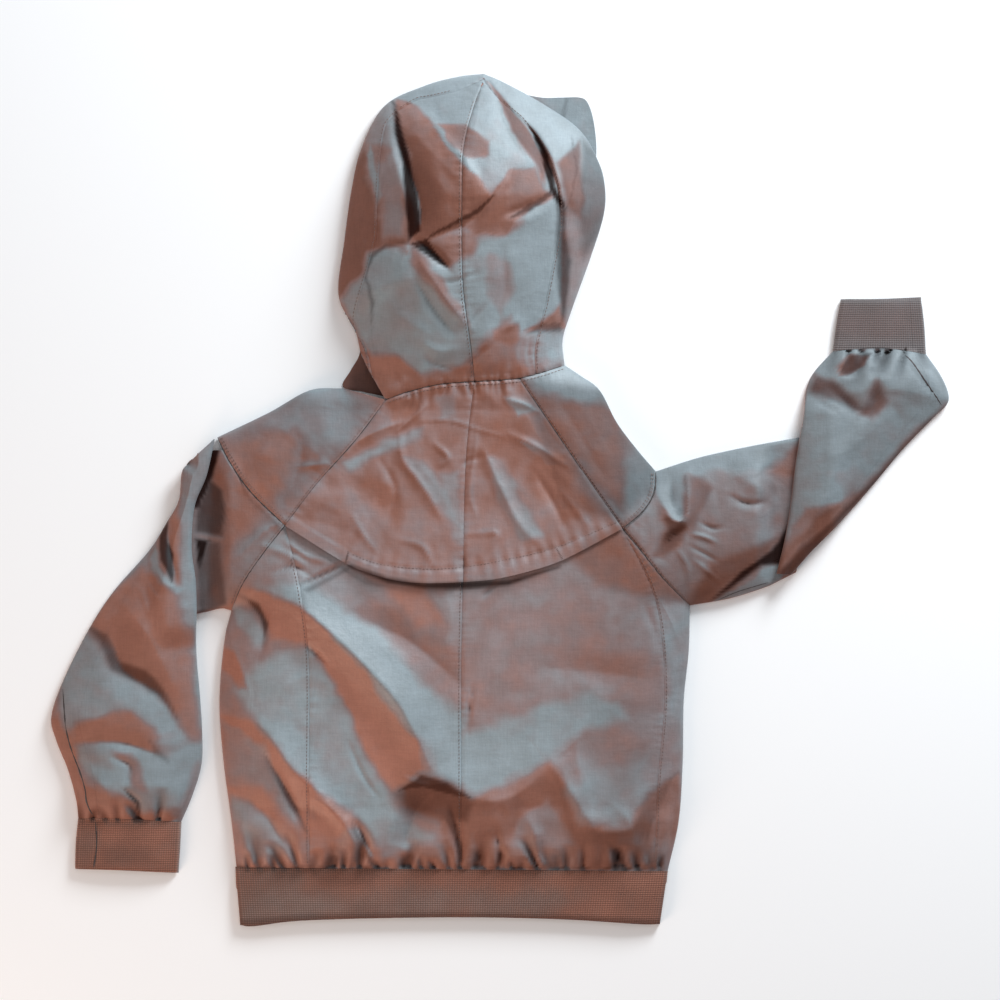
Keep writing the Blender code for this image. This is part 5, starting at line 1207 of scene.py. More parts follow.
paintedShadowShapes["lower_sleeve_right"] = [
    (0.7, 2, [(339, 133), (348, 145), (363, 147), (372, 147), (360, 132), (348, 124), (341, 125)]),
    (0.55, 4, outlines["elbow"]),
    (0.4, 4, outlines["forearm"]),
    (0.75, 5, [(446, 92), (406, 48), (362, 2), (284, -84), (276, -72), (300, -46), (330, -20), (362, 10), (392, 42),
        (424, 76)]),
]
paintedShadowShapes["hem_rib"] = [
    (0.6, 2.5, [(-264, -418), (-190, -413), (-50, -411), (60, -413), (165, -418), (165, -432), (-264, -432)]),
    (0.35, 7, [(-190, -364), (-120, -364), (-126, -386), (-180, -384)]),
    (0.4, 2, [(-266, -364), (170, -366), (170, -371), (-266, -369)]),
]
paintedShadowShapes["cuff_left"] = [
    (0.3, 8, [(-398, -344), (-350, -348), (-340, -362), (-400, -366)]),
]
paintedShadowShapes["cuff_right"] = [
    (0.15, 6, [(330, 162), (430, 160), (426, 194), (336, 194)]),
]
paintedShadowShapes["hood_rim"] = [
    (0.35, 1.5, [(66, 403), (69, 402), (66, 384), (62, 374), (61, 384)]),
    (0.45, 5, [(-180, 170), (-90, 170), (-90, 60), (-180, 60)]),
    (0.9, 2, [(-180, 116), (-110, 104), (-110, 98), (-180, 108)]),
]


# Share of each place inside an outline, fading over its soft edge: crossings counted, then the distance to it.
def insideShare(x, y, outline, soft):
    outline = np.asarray(outline, float)
    low, high = outline.min(0) - soft, outline.max(0) + soft
    near = (x > low[0]) & (x < high[0]) & (y > low[1]) & (y < high[1])
    share = np.zeros(np.shape(x))
    if near.any():
        px, py = x[near], y[near]
        inside = np.zeros(px.shape, bool)
        for (ax, ay), (bx, by) in zip(outline, np.roll(outline, -1, axis=0)):
            crossed = (ay > py) != (by > py)
            inside ^= crossed & (px < ax + (bx - ax) * (py - ay) / (by - ay if by != ay else 1))
        d = distanceTo(px, py, np.vstack([outline, outline[:1]]))[0]
        share[near] = smoothStep(np.where(inside, d, -d), -soft, soft)
    return share


# Shapes of a piece; one without its own uses those of the main part.
def shapesFor(name, table):
    return table.get(name.rsplit("_", 1)[0], table["main"])


# How the shapes take hold: waves of their edges (height, cell, layer), the share of the slope's tone they replace
# (less above the band), how much wider soft and crisp edges are, and mottling over it all.
shapeLook = {
    "waves": ((2.6, 16, 2), (0.9, 6, 5)), "hold": 0.85, "atBand": 0.4, "slopeKept": 0.5,
    "softer": 1.35, "crisp": 1.1, "crispBelow": 2.5, "mottles": ((0.10, 24, 8), (0.07, 8, 9)),
}


# A value with noises added, each with its height, cell and layer.
def withNoises(value, x, y, rows, layer=0):
    for height, cell, first in rows:
        value = value + height * softNoise(x, y, cell, first + layer)
    return value


# Painted light: the tone with each shape mixed in by its share: the tone moves that share of the way to the shape's
# own.
def paintedLightTone(name, x, y, tone):
    look = shapeLook
    wx, wy = withNoises(x, x, y, look["waves"]), withNoises(y, x, y, look["waves"], 1)
    beside = smoothStep(-y, 322, 350) * (abs(x + 50) < 240) * (not name.endswith("_knit"))
    hold = look["hold"] - look["atBand"] * beside
    for target, soft, outline in shapesFor(name, paintedLightShapes):
        edge = soft * (look["softer"] if soft > look["crispBelow"] else look["crisp"])
        share = hold * insideShare(wx, wy, outline, edge)
        tone = tone + share * (target + look["slopeKept"] * (tone - 0.5) - tone)
    return withNoises(tone, x, y, look["mottles"])


# Painted shade: of cloth turned to its warm-lit side by where it lies, of all cloth away from the light, in the tucks
# of gathered seams, and a painted shadow along the band's seam.
shade = {
    "all": 0.02, "hood": 0.42, "cape": 0.30, "folds": 0.30, "rightTurned": 0.34, "leftTurned": 0.08,
    "unlit": 0.10, "right": 0.24, "left": 0.12, "rightSide": 0.17,
    "hemSeam": 0.75, "hemSeamAt": -366.5, "hemSeamWide": 3.2, "tuckDepth": 11, "tuckMost": 0.65,
}


# Painted shade down in the tucks beside the band and the cuffs: their depth over the depth of full dark.
def paintedTuckShade(name, x, y):
    side = name.split("_")[2] if name.startswith("lower_sleeve") else "hem"
    depth = -tucks(x, np.maximum(gatherAway(y, side), 0), *gatherSpans[side])
    return np.clip(depth / shade["tuckDepth"], 0, shade["tuckMost"])


# Painted shade: the darkest of the hollows' shade, the painted shadow shapes, the turned cloth and the tucks, over a
# base shade of cloth away from the light, and a painted shadow along the band's seam.
def withPaintedShade(name, x, y, dark, tone):
    for depth, soft, outline in shapesFor(name, paintedShadowShapes):
        dark = np.maximum(dark, depth * insideShare(x + softNoise(x, y, 9, 4), y, outline, soft))
    if name.endswith("_knit"):
        return dark
    right, left = "sleeve_right" in name, "sleeve_left" in name
    folds = smoothStep(-y, 250, 285) * smoothStep(x, -110, -80)
    cape = smoothStep(y, -84, -70) * (1 - smoothStep(y, 120, 140)) * (abs(x) < 215)
    hood = smoothStep(y, 130, 170) * (not right)
    # Painted shade on cloth turned away from the cool light, strongest on the hood, the cape and the folds.
    turned = shade["all"] + shade["hood"] * hood + shade["cape"] * cape + shade["folds"] * folds
    turned = turned + shade["rightTurned"] * right + shade["leftTurned"] * left
    dark = np.maximum(dark, turned * smoothStep(0.45 - tone, 0, 0.4))
    # Painted shade on all cloth outside the lit part of the back, more on the sleeves and the right side.
    lit = smoothStep(-y, 80, 120) * (1 - smoothStep(x, 0, 90)) * (x > -295)
    base = shade["unlit"] * (1 - lit) + shade["right"] * right + shade["left"] * left
    base = base + shade["rightSide"] * smoothStep(x, 50, 140) * (not right) * (y < 130)
    dark = np.maximum(dark, paintedTuckShade(name, x, y))
    # Painted shadow along the band's seam, under the blousing cloth.
    seam = shade["hemSeam"] * np.exp(-(((y - shade["hemSeamAt"]) / shade["hemSeamWide"]) ** 2))
    seam = seam * (0.55 + 0.45 * softNoise(x, y, 9, 7)) * (x < 200) * (x > -290)
    return np.maximum(np.clip(dark + base * (1 - dark), 0, 1), seam)


areas = {}


# Puts a mesh in the scene on the jacket's one body, in place of its solid, and notes half its faces' area when a cut
# is given.
def place(mesh, material, nodes=(), slot="shell_cloth", cut=None, lies=()):
    mesh.materials.append(materials[material])
    piece = bpy.data.objects.new(mesh.name, mesh)
    bpy.context.scene.collection.objects.link(piece)
    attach(piece, "root")
    if nodes:
        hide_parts(*nodes)
    if cut:
        size = np.zeros(len(mesh.polygons))
        mesh.polygons.foreach_get("area", size)
        areas[mesh.name] = float(size.sum()) / 2


# A piece of shell cloth in place of its solid.
def sew(node, p, sign, cut, lies=(), extra=0.0):
    mesh = shellMesh(node + "_cloth", p, cloth["thick"] + extra, sign)
    place(mesh, "shell", [node], cut=cut, lies=lies)


# Body.

frontNames = ["front_left_cloth", "front_right_cloth"]


# Straight hem of a panel, from the foot of one seam to that of another.
def hemBetween(first, last):
    return np.linspace(seamLines[first][0], seamLines[last][0], 30)


backPanels = [
    {"node": "back_panel_left", "side": "Left", "sign": 1, "cut": (0.215, 0.345, 0.054)},
    {"node": "back_panel_right", "side": "Right", "sign": -1, "cut": (0.225, 0.36, 0.067)},
]
panelSize = (170, 310)  # width and length that the points are counted for
for panel in backPanels:
    u, v = (shares(size) for size in panelSize)
    seam, top = "sideSeam" + panel["side"], "panelTop" + panel["side"]
    xy = patch(hemBetween(seam, "centreSeam"), top, seam, "centreSeam", *gridShares(u, v))
    sew(panel["node"], raised(seamed(xy), mainTop), panel["sign"], panel["cut"], frontNames)
print("back panels made")

sidePanels = [
    {"node": "side_panel_left", "side": "Left", "sign": 1, "cut": (0.125, 0.30, 0.0375)},
    {"node": "side_panel_right", "side": "Right", "sign": -1, "cut": (0.085, 0.30, 0.0170)},
]
sideLength = 270
underReach = (0.45, 1.1, 2.0, 3.5, 9.0, 16.0, 23.0, 30.0, 36.0)  # columns of a side panel's underside, from the fold


# The fold, the seam, the hem and the raglan seam round a side panel.
def sideLines(side):
    fold, seam = "side" + side, "sideSeam" + side
    return fold, seam, hemBetween(fold, seam), f"-raglan{side}Low"


# Underside of a side panel: straight in from the fold, and along the raglan seam at its top.
def sideUnder(side, v):
    fold, seam, hem, raglan = sideLines(side)
    edge = lineAt(fold, v)
    inward = lineAt(seam, v) - edge
    width = np.linalg.norm(inward, axis=1, keepdims=True)
    reach = np.array(underReach)
    plain = edge[:, None] + (inward / width)[:, None] * reach[None, :, None]
    last = patch(hem, raglan, fold, seam, *gridShares(reach[None, :] / width, v))
    share = (v**8)[:, None, None]
    return plain * (1 - share) + last * share


for panel, front in zip(sidePanels, frontNames):
    fold, seam, hem, raglan = sideLines(panel["side"])
    v = shares(sideLength)
    width = widths(fold, seam, v)
    columns = across(countFor(width.mean()), width)
    top = patch(hem, raglan, fold, seam, *gridShares(columns, v))
    under = np.concatenate([top[:, :1], sideUnder(panel["side"], v)], axis=1)
    sew(panel["node"], seamed(wrapped(top, under, mainTop, mainUnder)), panel["sign"], panel["cut"], [front])
print("side panels made")

yokes = [
    {"node": "back_yoke_left", "side": "Left", "neck": "neckLeft", "sign": -1, "cut": (0.20, 0.235, 0.0260)},
    {"node": "back_yoke_right", "side": "Right", "neck": "-neckMiddle", "sign": 1, "cut": (0.17, 0.235, 0.0218)},
]
yokeSize, yokeExtra = (150, 200), 0.3  # millimetres; its cloth is that much thicker
for yoke in yokes:
    grid = gridShares(*(shares(size) for size in yokeSize))
    xy = patch(yoke["neck"], "yokeHem" + yoke["side"], "raglan" + yoke["side"], "centreYoke", *grid)
    sew(yoke["node"], raised(seamed(xy), yokeTop), yoke["sign"], yoke["cut"],
        ["back_panel_left_cloth", "back_panel_right_cloth"], yokeExtra)
print("yoke made")


# Fronts lie on the surface: level cloth with dents that rise from it, outer side down.
def frontSurface(x, y):
    return 1.8 * np.maximum(crumple(x, y, 38, 4), 0) * smoothStep(y, -366, -340)


fronts = [
    {"node": "front_left", "side": "Left", "zip": -1, "cut": (0.21, 0.47, 0.0715)},
    {"node": "front_right", "side": "Right", "zip": 1, "cut": (0.24, 0.47, 0.0855)},
]
frontSize, zipAway = (190, 400), 5.5
for front in fronts:
    u, v = (shares(size, cloth["underCell"]) for size in frontSize)
    side = front["side"]
    edge = sideUnder(side, v)[:, -1]
    low = joined(f"-raglan{side}Low")
    low = low[np.linalg.norm(low - low[0], axis=1) > underReach[-1] + 2]
    top = np.vstack([edge[-1:], low, joined("-raglan" + side, "neckline" + side)])
    closing = lines["zip"][lines["zip"][:, 1] > seamLines["hemSeam"][0][1]] + [front["zip"] * zipAway, 0]
    closing = np.vstack([closing, top[-1:]])
    xy = patch(np.vstack([edge[:1], closing[:1]]), top, edge, closing, *gridShares(u, v))
    p = raised(pullIn(pullIn(xy, 1, 0.5, 0.0), 0, 0.3, 0.5), frontSurface)
    sew(front["node"], p, front["zip"], front["cut"])
print("fronts made")


# Rib knit.

ribLook = {"rise": 0.42, "perRib": 4, "rowCell": 2.6, "roll": 1.0, "edgeRound": 2.5, "edgeDrop": 1.2, "deep": 52.0}
ribCell = cloth["ribPitch"] / ribLook["perRib"]


# A knit band: its grid lifted outwards by ribs of half a cosine, by a roll that is a sine across the band, and
# lowered at its rounded edge.
def knitBand(node, p, sign, v, look, cut):
    p = pullIn(p, 0, 0.1, 0.0)
    n = gridNormals(p, sign)
    ribs = 0.5 - 0.5 * np.cos(2 * np.pi * np.arange(p.shape[1]) / ribLook["perRib"])
    ribs = np.repeat(ribs[None], p.shape[0], axis=0)
    roll = ribLook["roll"] * np.sin(np.pi * v)[:, None]
    toEdge = (1 - v[:, None]) * ribLook["deep"]
    rounded = -ribLook["edgeDrop"] * (1 - smoothStep(toEdge, 0, ribLook["edgeRound"]))
    lift = ribLook["rise"] * ribs + (roll + rounded) * (n[..., 2] > 0.2)
    p = p + n * lift[..., None]
    p[..., 2] = np.maximum(p[..., 2], 0.02)
    mesh = shellMesh(node + "_knit", p, cloth["knit"], sign, {"rib": ribs})
    place(mesh, look, [node], "rib_knit", cut=cut)


# The hem band runs round from one side of the zip, over both folds and across the back, to its other side.
hemBand = {"zipHalf": 6.0, "cut": (0.80, 0.058, 0.046)}
v = shares(ribLook["deep"], ribLook["rowCell"])
left, right = ends("hemSeam", "hemEdge", 0), ends("hemSeam", "hemEdge", -1)
width = float(widths(left, right, v).mean())
step = ribCell / width
zipShare = (lines["zip"][0, 0] - left[1, 0]) / width
zipHalf = hemBand["zipHalf"] / width
near = np.array(foldSteps[1:]) / width
topShares = np.arange(near[-1], 1 - near[-1], step)
stretches = [
    (np.arange(zipShare - zipHalf, near[-1], -step), mainUnder), (near[::-1], mainUnder),
    (np.array([0.0]), mainUnder), (near, mainTop), (topShares[1:], mainTop), (1 - near[::-1], mainTop),
    (np.array([1.0]), mainUnder), (1 - near, mainUnder),
    (np.arange(1 - near[-1] - step, zipShare + zipHalf, -step), mainUnder),
]
p = np.concatenate([raised(patch("hemSeam", "hemEdge", left, right, *gridShares(s, v)), surface)
                    for s, surface in stretches], axis=1)
knitBand("hem_rib", p, -1, v, "knit", hemBand["cut"])
print("hem band made")


# Sleeves.

shoulders = [
    {"node": "shoulder_left", "side": "Left", "neck": [(-157, 112), (-135, 106), (-113, 100)], "sign": -1,
     "cut": (0.20, 0.22, 0.0255)},
    {"node": "shoulder_right", "side": "Right", "neck": [(65, 135), (45, 128), (20, 121)], "sign": 1,
     "cut": (0.15, 0.21, 0.0205)},
]
shoulderLength, shoulderUnderCell = 165, 7.0
for shoulder in shoulders:
    v = shares(shoulderLength)
    outline, raglan, yoke = (start + shoulder["side"] for start in ("shoulder", "raglan", "yokeSeam"))
    width = widths(outline, raglan, v)
    neck = smoothLine(shoulder["neck"])
    top, under = (patch(neck, yoke, outline, raglan, *gridShares(across(countFor(width.mean(), cell), width), v))
                  for cell in (cloth["cell"], shoulderUnderCell))
    p = pullIn(pullIn(wrapped(top, under, mainTop, mainUnder), 1, 0.15, cloth["seamGap"]), 0, 0.1, 0.1)
    sew(shoulder["node"], p, shoulder["sign"], shoulder["cut"])

upperLeft = {"width": 190.0, "length": 60, "cell": 2.2, "top": countFor(180), "under": 40,
             "cut": (0.30, 0.16, 0.0235)}
near = joined("-raglanLeftLow", "-yokeSeamLeftLow")
corner = ends("bendLeft", "yokeSeamLeftLow", 0)
v = shares(upperLeft["length"], upperLeft["cell"])
width = np.full(len(v), upperLeft["width"])
top, under = (patch("-bendLeft", near, "-underarmLeft", corner, *gridShares(across(count, width), v))
              for count in (upperLeft["top"], upperLeft["under"]))
sew("upper_sleeve_left", pullIn(wrapped(top, under, mainTop, mainUnder), 0, 0.0, 0.1), -1, upperLeft["cut"])


# Rows of a flattened tube: from a slit on its top round both folds and back to the slit.
def tubeRows(left, right, first, last, v, top, under, slit, cell=cloth["cell"], underCell=cloth["underCell"]):
    width = widths(left, right, v)
    near = np.array(foldSteps[1:])[None, :] / np.maximum(width, 3 * foldSteps[-1])[:, None]
    base, span = near[:, -1:], 1 - 2 * near[:, -1:]
    folds = near[:, :-1]

    def flat(start, stop, length, size):
        return base + span * np.linspace(start, stop, countFor(length, size))[None, :]

    mean = width.mean()
    stretches = [
        (flat(slit, 1, mean * (1 - slit), cell), top), (1 - folds[:, ::-1], top), (np.ones((len(v), 1)), under),
        (1 - folds, under), (flat(1, 0, mean, underCell), under), (folds[:, ::-1], under),
        (np.zeros((len(v), 1)), under), (folds, top), (flat(0, slit, mean * slit, cell), top),
    ]
    rows = [raised(patch(first, last, left, right, *gridShares(s, v)), surface) for s, surface in stretches]
    return seamed(np.concatenate(rows, axis=1))


upperRight = {"length": 150, "slit": 0.8656, "cut": (0.33, 0.20, 0.0475)}
p = tubeRows("armTopRight", "underarmRight", joined("yokeSeamRight", "raglanRightLow"), "bendRight",
             shares(upperRight["length"]), mainTop, mainUnder, upperRight["slit"])
sew("upper_sleeve_right", pullIn(p, 0, 0.1, 0.0), 1, upperRight["cut"])

lowerSleeves = [
    {"node": "lower_sleeve_left", "left": "sleeveLeftOut", "right": "sleeveLeftIn", "seam": "cuffLeftSeam",
     "top": leftSleeveTop, "under": leftSleeveUnder, "length": 400, "slit": 0.18, "sign": -1,
     "cut": (0.29, 0.42, 0.075)},
    {"node": "lower_sleeve_right", "left": "sleeveRightIn", "right": "sleeveRightOut", "seam": "cuffRightSeam",
     "top": rightSleeveTop, "under": rightSleeveUnder, "length": 240, "slit": 0.88, "sign": 1,
     "cut": (0.23, 0.30, 0.047)},
]
for sleeve in lowerSleeves:
    p = tubeRows(sleeve["left"], sleeve["right"], ends(sleeve["left"], sleeve["right"], 0), sleeve["seam"],
                 shares(sleeve["length"]), sleeve["top"], sleeve["under"], sleeve["slit"])
    sew(sleeve["node"], pullIn(p, 0, 0.0, 0.1), sleeve["sign"], sleeve["cut"])

cuffs = [
    {"node": "cuff_left", "seam": "cuffLeftSeam", "edge": "cuffLeftEdge", "top": leftSleeveTop,
     "under": leftSleeveUnder, "slit": 0.18, "sign": -1, "look": "knit", "cut": (0.22, 0.055, 0.0118)},
    {"node": "cuff_right", "seam": "cuffRightSeam", "edge": "cuffRightEdge", "top": rightSleeveTop,
     "under": rightSleeveUnder, "slit": 0.88, "sign": 1, "look": "knitCool", "cut": (0.19, 0.055, 0.0100)},
]
for cuff in cuffs:
    v = shares(ribLook["deep"], ribLook["rowCell"])
    left, right = (ends(cuff["seam"], cuff["edge"], which) for which in (0, -1))
    p = tubeRows(left, right, cuff["seam"], cuff["edge"], v, cuff["top"], cuff["under"], cuff["slit"],
                 ribCell, ribCell)
    knitBand(cuff["node"], p, cuff["sign"], v, cuff["look"], cuff["cut"])
print("sleeves and cuffs made")


# Hood.

hoods = [
    {"side": "left", "outline": "hoodLeft", "neck": ("-hoodCorner", "neckLeft"), "seam": leftSeamShares, "sign": 1,
     "cutSide": (0.105, 0.34, 0.0180), "cutCentre": (0.15, 0.35, 0.030)},
    {"side": "right", "outline": "hoodRight", "neck": ("-neckRight", "-neckMiddle"), "seam": rightSeamShares,
     "sign": -1, "cutSide": (0.115, 0.35, 0.0240), "cutCentre": (0.13, 0.35, 0.026)},
]
hoodSize = {"length": 290, "side": 45, "centre": 100, "peak": 0.985, "peakRows": 5}
hoodUnderReach = np.array((*foldSteps, 8, 13, 18, 22))  # columns of the underside, from the fold
hoodSeams = {}


# Places on a hood half: from its outline (u 0) to the centre seam (1), from the neck (v 0) to the top (1).
def hoodPlaces(hood, u, v):
    neck = np.vstack([joined(hood["neck"][0]), joined(hood["neck"][1])[1:]])
    top = ends(hood["outline"], "hoodSpine", -1)
    return patch(neck, top, hood["outline"], "hoodSpine", *gridShares(u, v))


v = np.concatenate([shares(hoodSize["length"])[:-1] * hoodSize["peak"],
                    np.linspace(hoodSize["peak"], 1.0, hoodSize["peakRows"])])
for hood in hoods:
    hoodSeams[hood["side"]] = hoodPlaces(hood, np.interp(v, *hood["seam"])[:, None], v)[:, 0]
    seamRows.append((hoodSeams[hood["side"]], 0.9, 0.45, 8, 7))

for hood in hoods:
    at = np.interp(v, *hood["seam"])[:, None]
    width = widths(hood["outline"], "hoodSpine", v)[:, None]
    near = np.array(foldSteps)[None, :] / np.maximum(width, 3.2 * foldSteps[-1])
    toSeam = shares(hoodSize["side"])[None, 1:]
    top = hoodPlaces(hood, np.hstack([near, near[:, -1:] + (at - near[:, -1:]) * toSeam]), v)
    under = hoodPlaces(hood, hoodUnderReach[None, :] / np.maximum(width, 1.6 * hoodUnderReach[-1]), v)
    p = pullIn(pullIn(wrapped(top, under, mainTop, hoodUnder), 1, 0.0, cloth["seamGap"]), 0, 0.1, 0.0)
    sew(f"hood_side_{hood['side']}", p, hood["sign"], hood["cutSide"], ["hood_rim_cloth"])
    u = at + (1 - at) * shares(hoodSize["centre"])[None, :]
    p = raised(pullIn(seamed(hoodPlaces(hood, u, v)), 0, 0.1, 0.0), mainTop)
    sew(f"hood_centre_{hood['side']}", p, hood["sign"], hood["cutCentre"])


# The rim lies flat, with low dents that rise from the surface.
def rimSurface(x, y):
    return 0.5 * np.maximum(crumple(x, y, 30, 2), 0)


rim = {"length": 1150, "across": 14, "cut": (1.10, 0.055, 0.0360)}
v = shares(rim["length"])
u = np.linspace(0, 1, rim["across"])[None, :, None]
xy = lineAt("rimIn", v)[:, None] * (1 - u) + lineAt("rimOut", v)[:, None] * u
sew("hood_rim", raised(pullIn(xy, 1, 0.0, 0.3), rimSurface), 1, rim["cut"])
print("hood made")


# Sewing: each stitch is a small pinched tube along its seam, all of a row worked out at once.

stitchLook = {
    "length": 2.6, "gap": 0.9, "radius": 0.28, "above": 0.30, "sides": 6,
    "along": (-1.0, -0.5, 0.5, 1.0),   # places of the rings, in half lengths
    "size": (0.3, 1.0, 1.0, 0.3),      # their radii
    "height": (-0.15, 1, 1, -0.15),    # their share of the height above the cloth
}


# Faces round each strip of rings, given as their points' numbers.
def wallsOf(ids):
    a, b = ids[..., :-1, :], ids[..., 1:, :]
    return np.stack([a, np.roll(a, -1, -1), np.roll(b, -1, -1), b], -1).reshape(-1, 4)


# Unit vectors turned a quarter to the left of a run.
def sideOf(along):
    return np.stack([-along[..., 1], along[..., 0]], axis=-1)


# Four rings along each stitch, thin at its ends; the row follows the cloth's height. A row is a line, how far it
# lies to the left of it, and the shares of the line between which it runs.
def stitchMesh(name, rows, surface):
    look = stitchLook
    points, faces, base = [], [], 0
    turn = np.linspace(0, 2 * np.pi, look["sides"], endpoint=False)[None, None, :]
    size = np.array(look["size"])[None, :, None] * look["radius"]
    for line, offset, start, stop in rows:
        dense = asLine(line)
        length = lineLength(dense)
        count = int(length * (stop - start) / (look["length"] + look["gap"]))
        middle = np.linspace(start, stop, count)
        s = middle[:, None] + look["length"] / 2 / length * np.array(look["along"])[None, :]
        at = lineAt(dense, np.clip(s, 0, 1))
        side = sideOf(unit(lineAt(dense, np.clip(s + 0.002, 0, 1)) - lineAt(dense, np.clip(s - 0.002, 0, 1))))
        at = at + side * offset
        z = surface(at[..., 0], at[..., 1]) + np.array(look["height"])[None, :] * look["above"]
        ring = at[:, :, None] + side[:, :, None] * (np.cos(turn) * size)[..., None]
        ring = np.concatenate([ring, (z[..., None] + np.sin(turn) * size)[..., None]], axis=-1)
        ids = base + np.arange(count * 4 * look["sides"]).reshape(count, 4, look["sides"])
        faces += wallsOf(ids).tolist() + ids[:, 0, ::-1].tolist() + ids[:, -1].tolist()
        points.append(ring.reshape(-1, 3))
        base += ids.size
    return meshOf(name, np.concatenate(points), faces)


sewing = {
    "body_stitches": ([("sideSeamLeft", 2.4, 0.02, 0.9), ("sideSeamRight", -2.4, 0.02, 0.9),
                       ("centreSeam", 2.2, 0.02, 0.98)], mainTop),
    "yoke_stitches": ([(stitchedHem, 0.0, 0.02, 0.98), ("yokeSeamLeft", 2.6, 0.03, 0.97),
                       ("yokeSeamLeft", 4.4, 0.03, 0.97), ("yokeSeamRight", -2.6, 0.05, 0.95),
                       ("yokeSeamRight", -4.4, 0.05, 0.95)], yokeTop),
    "raglan_stitches": ([(raglanLeft, -2.4, 0.03, 0.97), (raglanRight, 2.4, 0.03, 0.97)], mainTop),
    "neck_stitches": ([(neckSeam, -3.2, 0.02, 0.98)], mainTop),
    "hood_stitches": ([("hoodSpine", 2.2, 0.02, 0.93), (hoodSeams["left"], 2.2, 0.02, 0.9),
                       (hoodSeams["right"], -2.2, 0.02, 0.9)], mainTop),
}
# Bar tacks where the cape comes free: stitches close together, each across a short line.
tack = {"count": 9, "half": 1.8, "ends": ([(-150, -51), (-153, -63)], [(57, -48), (63, -59)])}
for end in tack["ends"]:
    side = sideOf(np.subtract(end[1], end[0]).astype(float))
    side = side / np.linalg.norm(side) * tack["half"]
    for at in lineAt(end, np.linspace(0, 1, tack["count"])):
        sewing["yoke_stitches"][0].append((np.array([at - side, at + side]), 0.0, 0.5, 1.6))
for name, (rows, surface) in sewing.items():
    place(stitchMesh(name, rows, surface), "thread")

ditchLook = {"cell": 1.6, "across": (-1.0, -0.6, 0.6, 1.0), "height": (-0.2, 0.22, 0.22, -0.2)}


# Painted shadow in the ditch of a sewn seam: a dark strip with a low ridge section that follows the cloth, thin at
# both ends.
def ditchMesh(name, rows):
    points, faces, base = [], [], 0
    for line, wide, surface in rows:
        dense = asLine(line)
        s = shares(lineLength(dense), ditchLook["cell"])
        at = lineAt(dense, s)
        along = np.gradient(at, axis=0)
        side = sideOf(along) / np.linalg.norm(along, axis=1, keepdims=True)
        half = wide / 2 * np.clip(np.minimum(s, 1 - s) * 12, 0.15, 1) * (1 + 0.2 * np.sin(s * 61))
        xy = at[:, None] + side[:, None] * half[:, None, None] * np.array(ditchLook["across"])[None, :, None]
        z = surface(xy[..., 0], xy[..., 1]) + np.array(ditchLook["height"])
        ids = base + np.arange(len(s) * 4).reshape(len(s), 4)
        faces += wallsOf(ids)[:, ::-1].tolist() + [ids[0].tolist(), ids[-1, ::-1].tolist()]
        points.append(np.concatenate([xy, z[..., None]], -1).reshape(-1, 3))
        base += ids.size
    return meshOf(name, np.concatenate(points), faces, False)


# The join of the left cuff lies on its ribs: the sleeve's height, the rib's rise and the roll of the cuff.
def cuffJoinTop(x, y):
    share = np.clip(-gatherAway(y, "left") / ribLook["deep"], 0, 1)
    return leftSleeveTop(x, y) + ribLook["rise"] + ribLook["roll"] * np.sin(np.pi * share)


leftArmSeam = smoothLine([(-436, -188), (-430, -238), (-414, -282), (-411, -301), (-404, -317)])
rightArmSeam = smoothLine([(404, 145), (412, 136), (425, 117), (441, 95)])
leftCuffJoin = smoothLine([(-403, -321), (-402, -344), (-405, -367)])
rightSleeveJoin = smoothLine([(215, -101), (238, -91), (268, -82)])
# Painted shadow strips along the seams.
place(ditchMesh("seam_shadow_strips", [
    (raglanLeft, 1.1, mainTop), (raglanRight, 1.2, mainTop), ("yokeSeamLeft", 1.3, yokeTop),
    ("yokeSeamRight", 1.1, yokeTop), (neckSeam, 1.2, mainTop), ("hoodSpine", 0.6, mainTop),
    (leftArmSeam, 1.7, leftSleeveTop), (rightArmSeam, 1.6, rightSleeveTop), (leftCuffJoin, 1.4, cuffJoinTop),
    (rightSleeveJoin, 0.9, mainTop),
]), "ditch")
print("sewing made")


# Zip under the jacket: woven tape, two rows of teeth and the slider where the solid has it.

zipLook = {"wide": 10.0, "top": 22.0, "length": 430, "cell": 4.0, "tape": 0.7, "high": 0.85,
           "ridges": 9, "ridge": 0.12}
toothLook = {
    "pitch": 2.4, "long": 2.6, "wide": 1.5, "low": 0.02, "high": 1.2,
    "along": (-0.5, -0.35, 0.3, 0.5, 0.3, -0.35),  # outline of a tooth, in its lengths and half widths
    "across": (0.0, 1.0, 0.75, 0.0, -0.75, -1.0),
}
line = lines["zip"][lines["zip"][:, 1] < zipLook["top"]]
columns = np.linspace(0, 1, zipLook["ridges"])
xy = lineAt(line, shares(zipLook["length"], zipLook["cell"]))[:, None]
xy = xy + (columns - 0.5)[None, :, None] * np.array([zipLook["wide"], 0.0])
ridged = zipLook["ridge"] * np.sin(np.pi * zipLook["ridges"] * columns)[None, :] + 0 * xy[..., 0]
p = np.concatenate([xy, (zipLook["high"] + ridged)[..., None]], axis=-1)
place(shellMesh("zip_tape_woven", p, zipLook["tape"], 1), "tape", ["zip_tape"], "zip_tape")


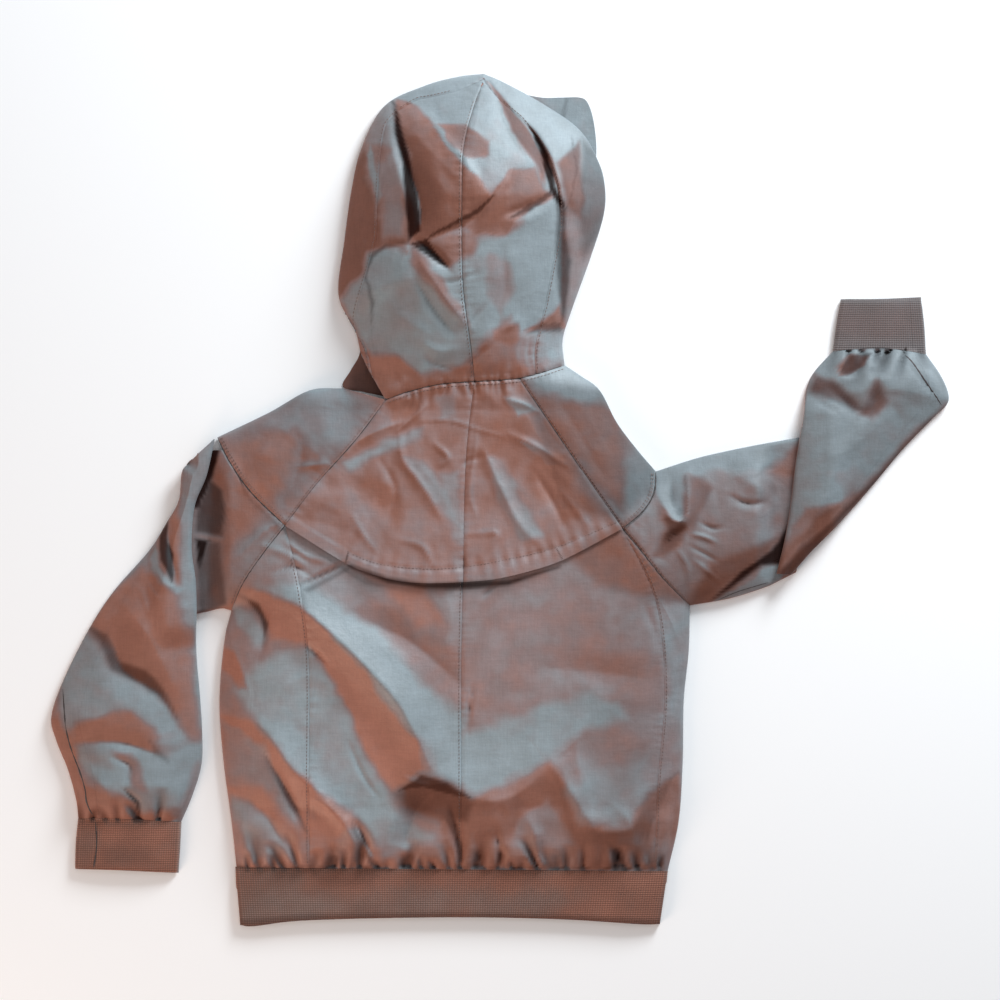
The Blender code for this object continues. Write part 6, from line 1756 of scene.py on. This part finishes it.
# One tooth is a wedge with a rounded head; all teeth are that form moved along the line, left and right by turns.
def toothMesh(name):
    count = int(lineLength(line) / toothLook["pitch"]) * 2
    at = lineAt(line, np.linspace(0.002, 0.998, count))
    hand = np.where(np.arange(count) % 2, 1.0, -1.0)
    along = np.array(toothLook["along"]) * toothLook["long"]
    across = np.array(toothLook["across"]) * toothLook["wide"] / 2
    form = np.stack([-hand[:, None] * along[None, :], across[None, :] + 0 * hand[:, None]], -1)
    xy = np.repeat(at[:, None, None] + form[:, None], 2, axis=1)
    z = np.broadcast_to(np.array([toothLook["low"], toothLook["high"]])[None, :, None], xy.shape[:3])
    points = np.concatenate([xy, z[..., None]], axis=-1).reshape(-1, 3)
    ids = np.arange(count * 12).reshape(count, 2, 6)
    faces = []
    for way, turned in ((-1, ids[hand < 0]), (1, ids[hand > 0])):
        faces += wallsOf(turned)[:, ::way].tolist()
        faces += turned[:, 0, ::-way].tolist() + turned[:, 1, ::way].tolist()
    return meshOf(name, points, faces, False)


place(toothMesh("zip_teeth"), "teeth", slot="zip_metal")
bpy.data.objects["zip_slider"].material_slots[0].material = materials["slider"]
print("zip made")


# Floor, light and camera.

stage = {
    "floor": 6.0, "drop": 0.0002, "floorColour": (0.97, 0.97, 0.97, 1),
    "world": (0.93, 0.95, 1.0, 1), "worldStrength": 0.30,
    # Area lights: place, the point they face, size, power and colour.
    "lamps": {
        "window": ((1.2, 1.8, 1.0), (0.0, 0.0, 0.0), 0.9, 76.0, (0.88, 0.95, 1.0)),
        "warm side": ((-1.3, -1.5, 0.7), (0.0, -0.05, 0.0), 0.8, 17.0, (1.0, 0.74, 0.58)),
        "overhead": ((0.0, 0.1, 2.6), (0.0, 0.0, 0.0), 2.0, 11.0, (1.0, 0.98, 0.97)),
    },
    "lens": 150.0, "sensor": 36.0, "seen": 1.0,  # metres across the view at the floor
}


# Puts an object with its data in the scene.
def added(name, data):
    thing = bpy.data.objects.new(name, data)
    bpy.context.scene.collection.objects.link(thing)
    return thing


# Turns an object so that its own -Z points from its place to a target.
def aim(thing, target):
    thing.rotation_euler = (Vector(target) - thing.location).to_track_quat("-Z", "Y").to_euler()


half = stage["floor"] / 2
floor = bpy.data.meshes.new("floor")
floor.from_pydata([(x * half, y * half, -stage["drop"]) for x, y in ((-1, -1), (1, -1), (1, 1), (-1, 1))], [],
                  [(0, 1, 2, 3)])
floor.materials.append(newMaterial("pale floor", {"Base Color": stage["floorColour"], "Roughness": 0.9})[0])
added("floor", floor)

world = bpy.data.worlds.new("studio")
bpy.context.scene.world = world
world.use_nodes = True
background = world.node_tree.nodes["Background"]
background.inputs["Color"].default_value = stage["world"]
background.inputs["Strength"].default_value = stage["worldStrength"]

for name, (spot, target, size, power, colour) in stage["lamps"].items():
    lamp = bpy.data.lights.new(name, "AREA")
    lamp.shape, lamp.size, lamp.energy, lamp.color = "SQUARE", size, power, colour
    lampObject = added(name, lamp)
    lampObject.location = spot
    aim(lampObject, target)

# Straight above the jacket.
camera = added("camera", bpy.data.cameras.new("camera"))
camera.data.lens, camera.data.sensor_width, camera.data.clip_end = stage["lens"], stage["sensor"], 20.0
camera.location = (0.0, 0.0, stage["seen"] * stage["lens"] / stage["sensor"])
bpy.context.scene.camera = camera
bpy.context.scene.view_settings.view_transform = "Standard"
print("stage made")

bpy.context.view_layer.update()
print("areas:", {name: round(value, 4) for name, value in areas.items()})
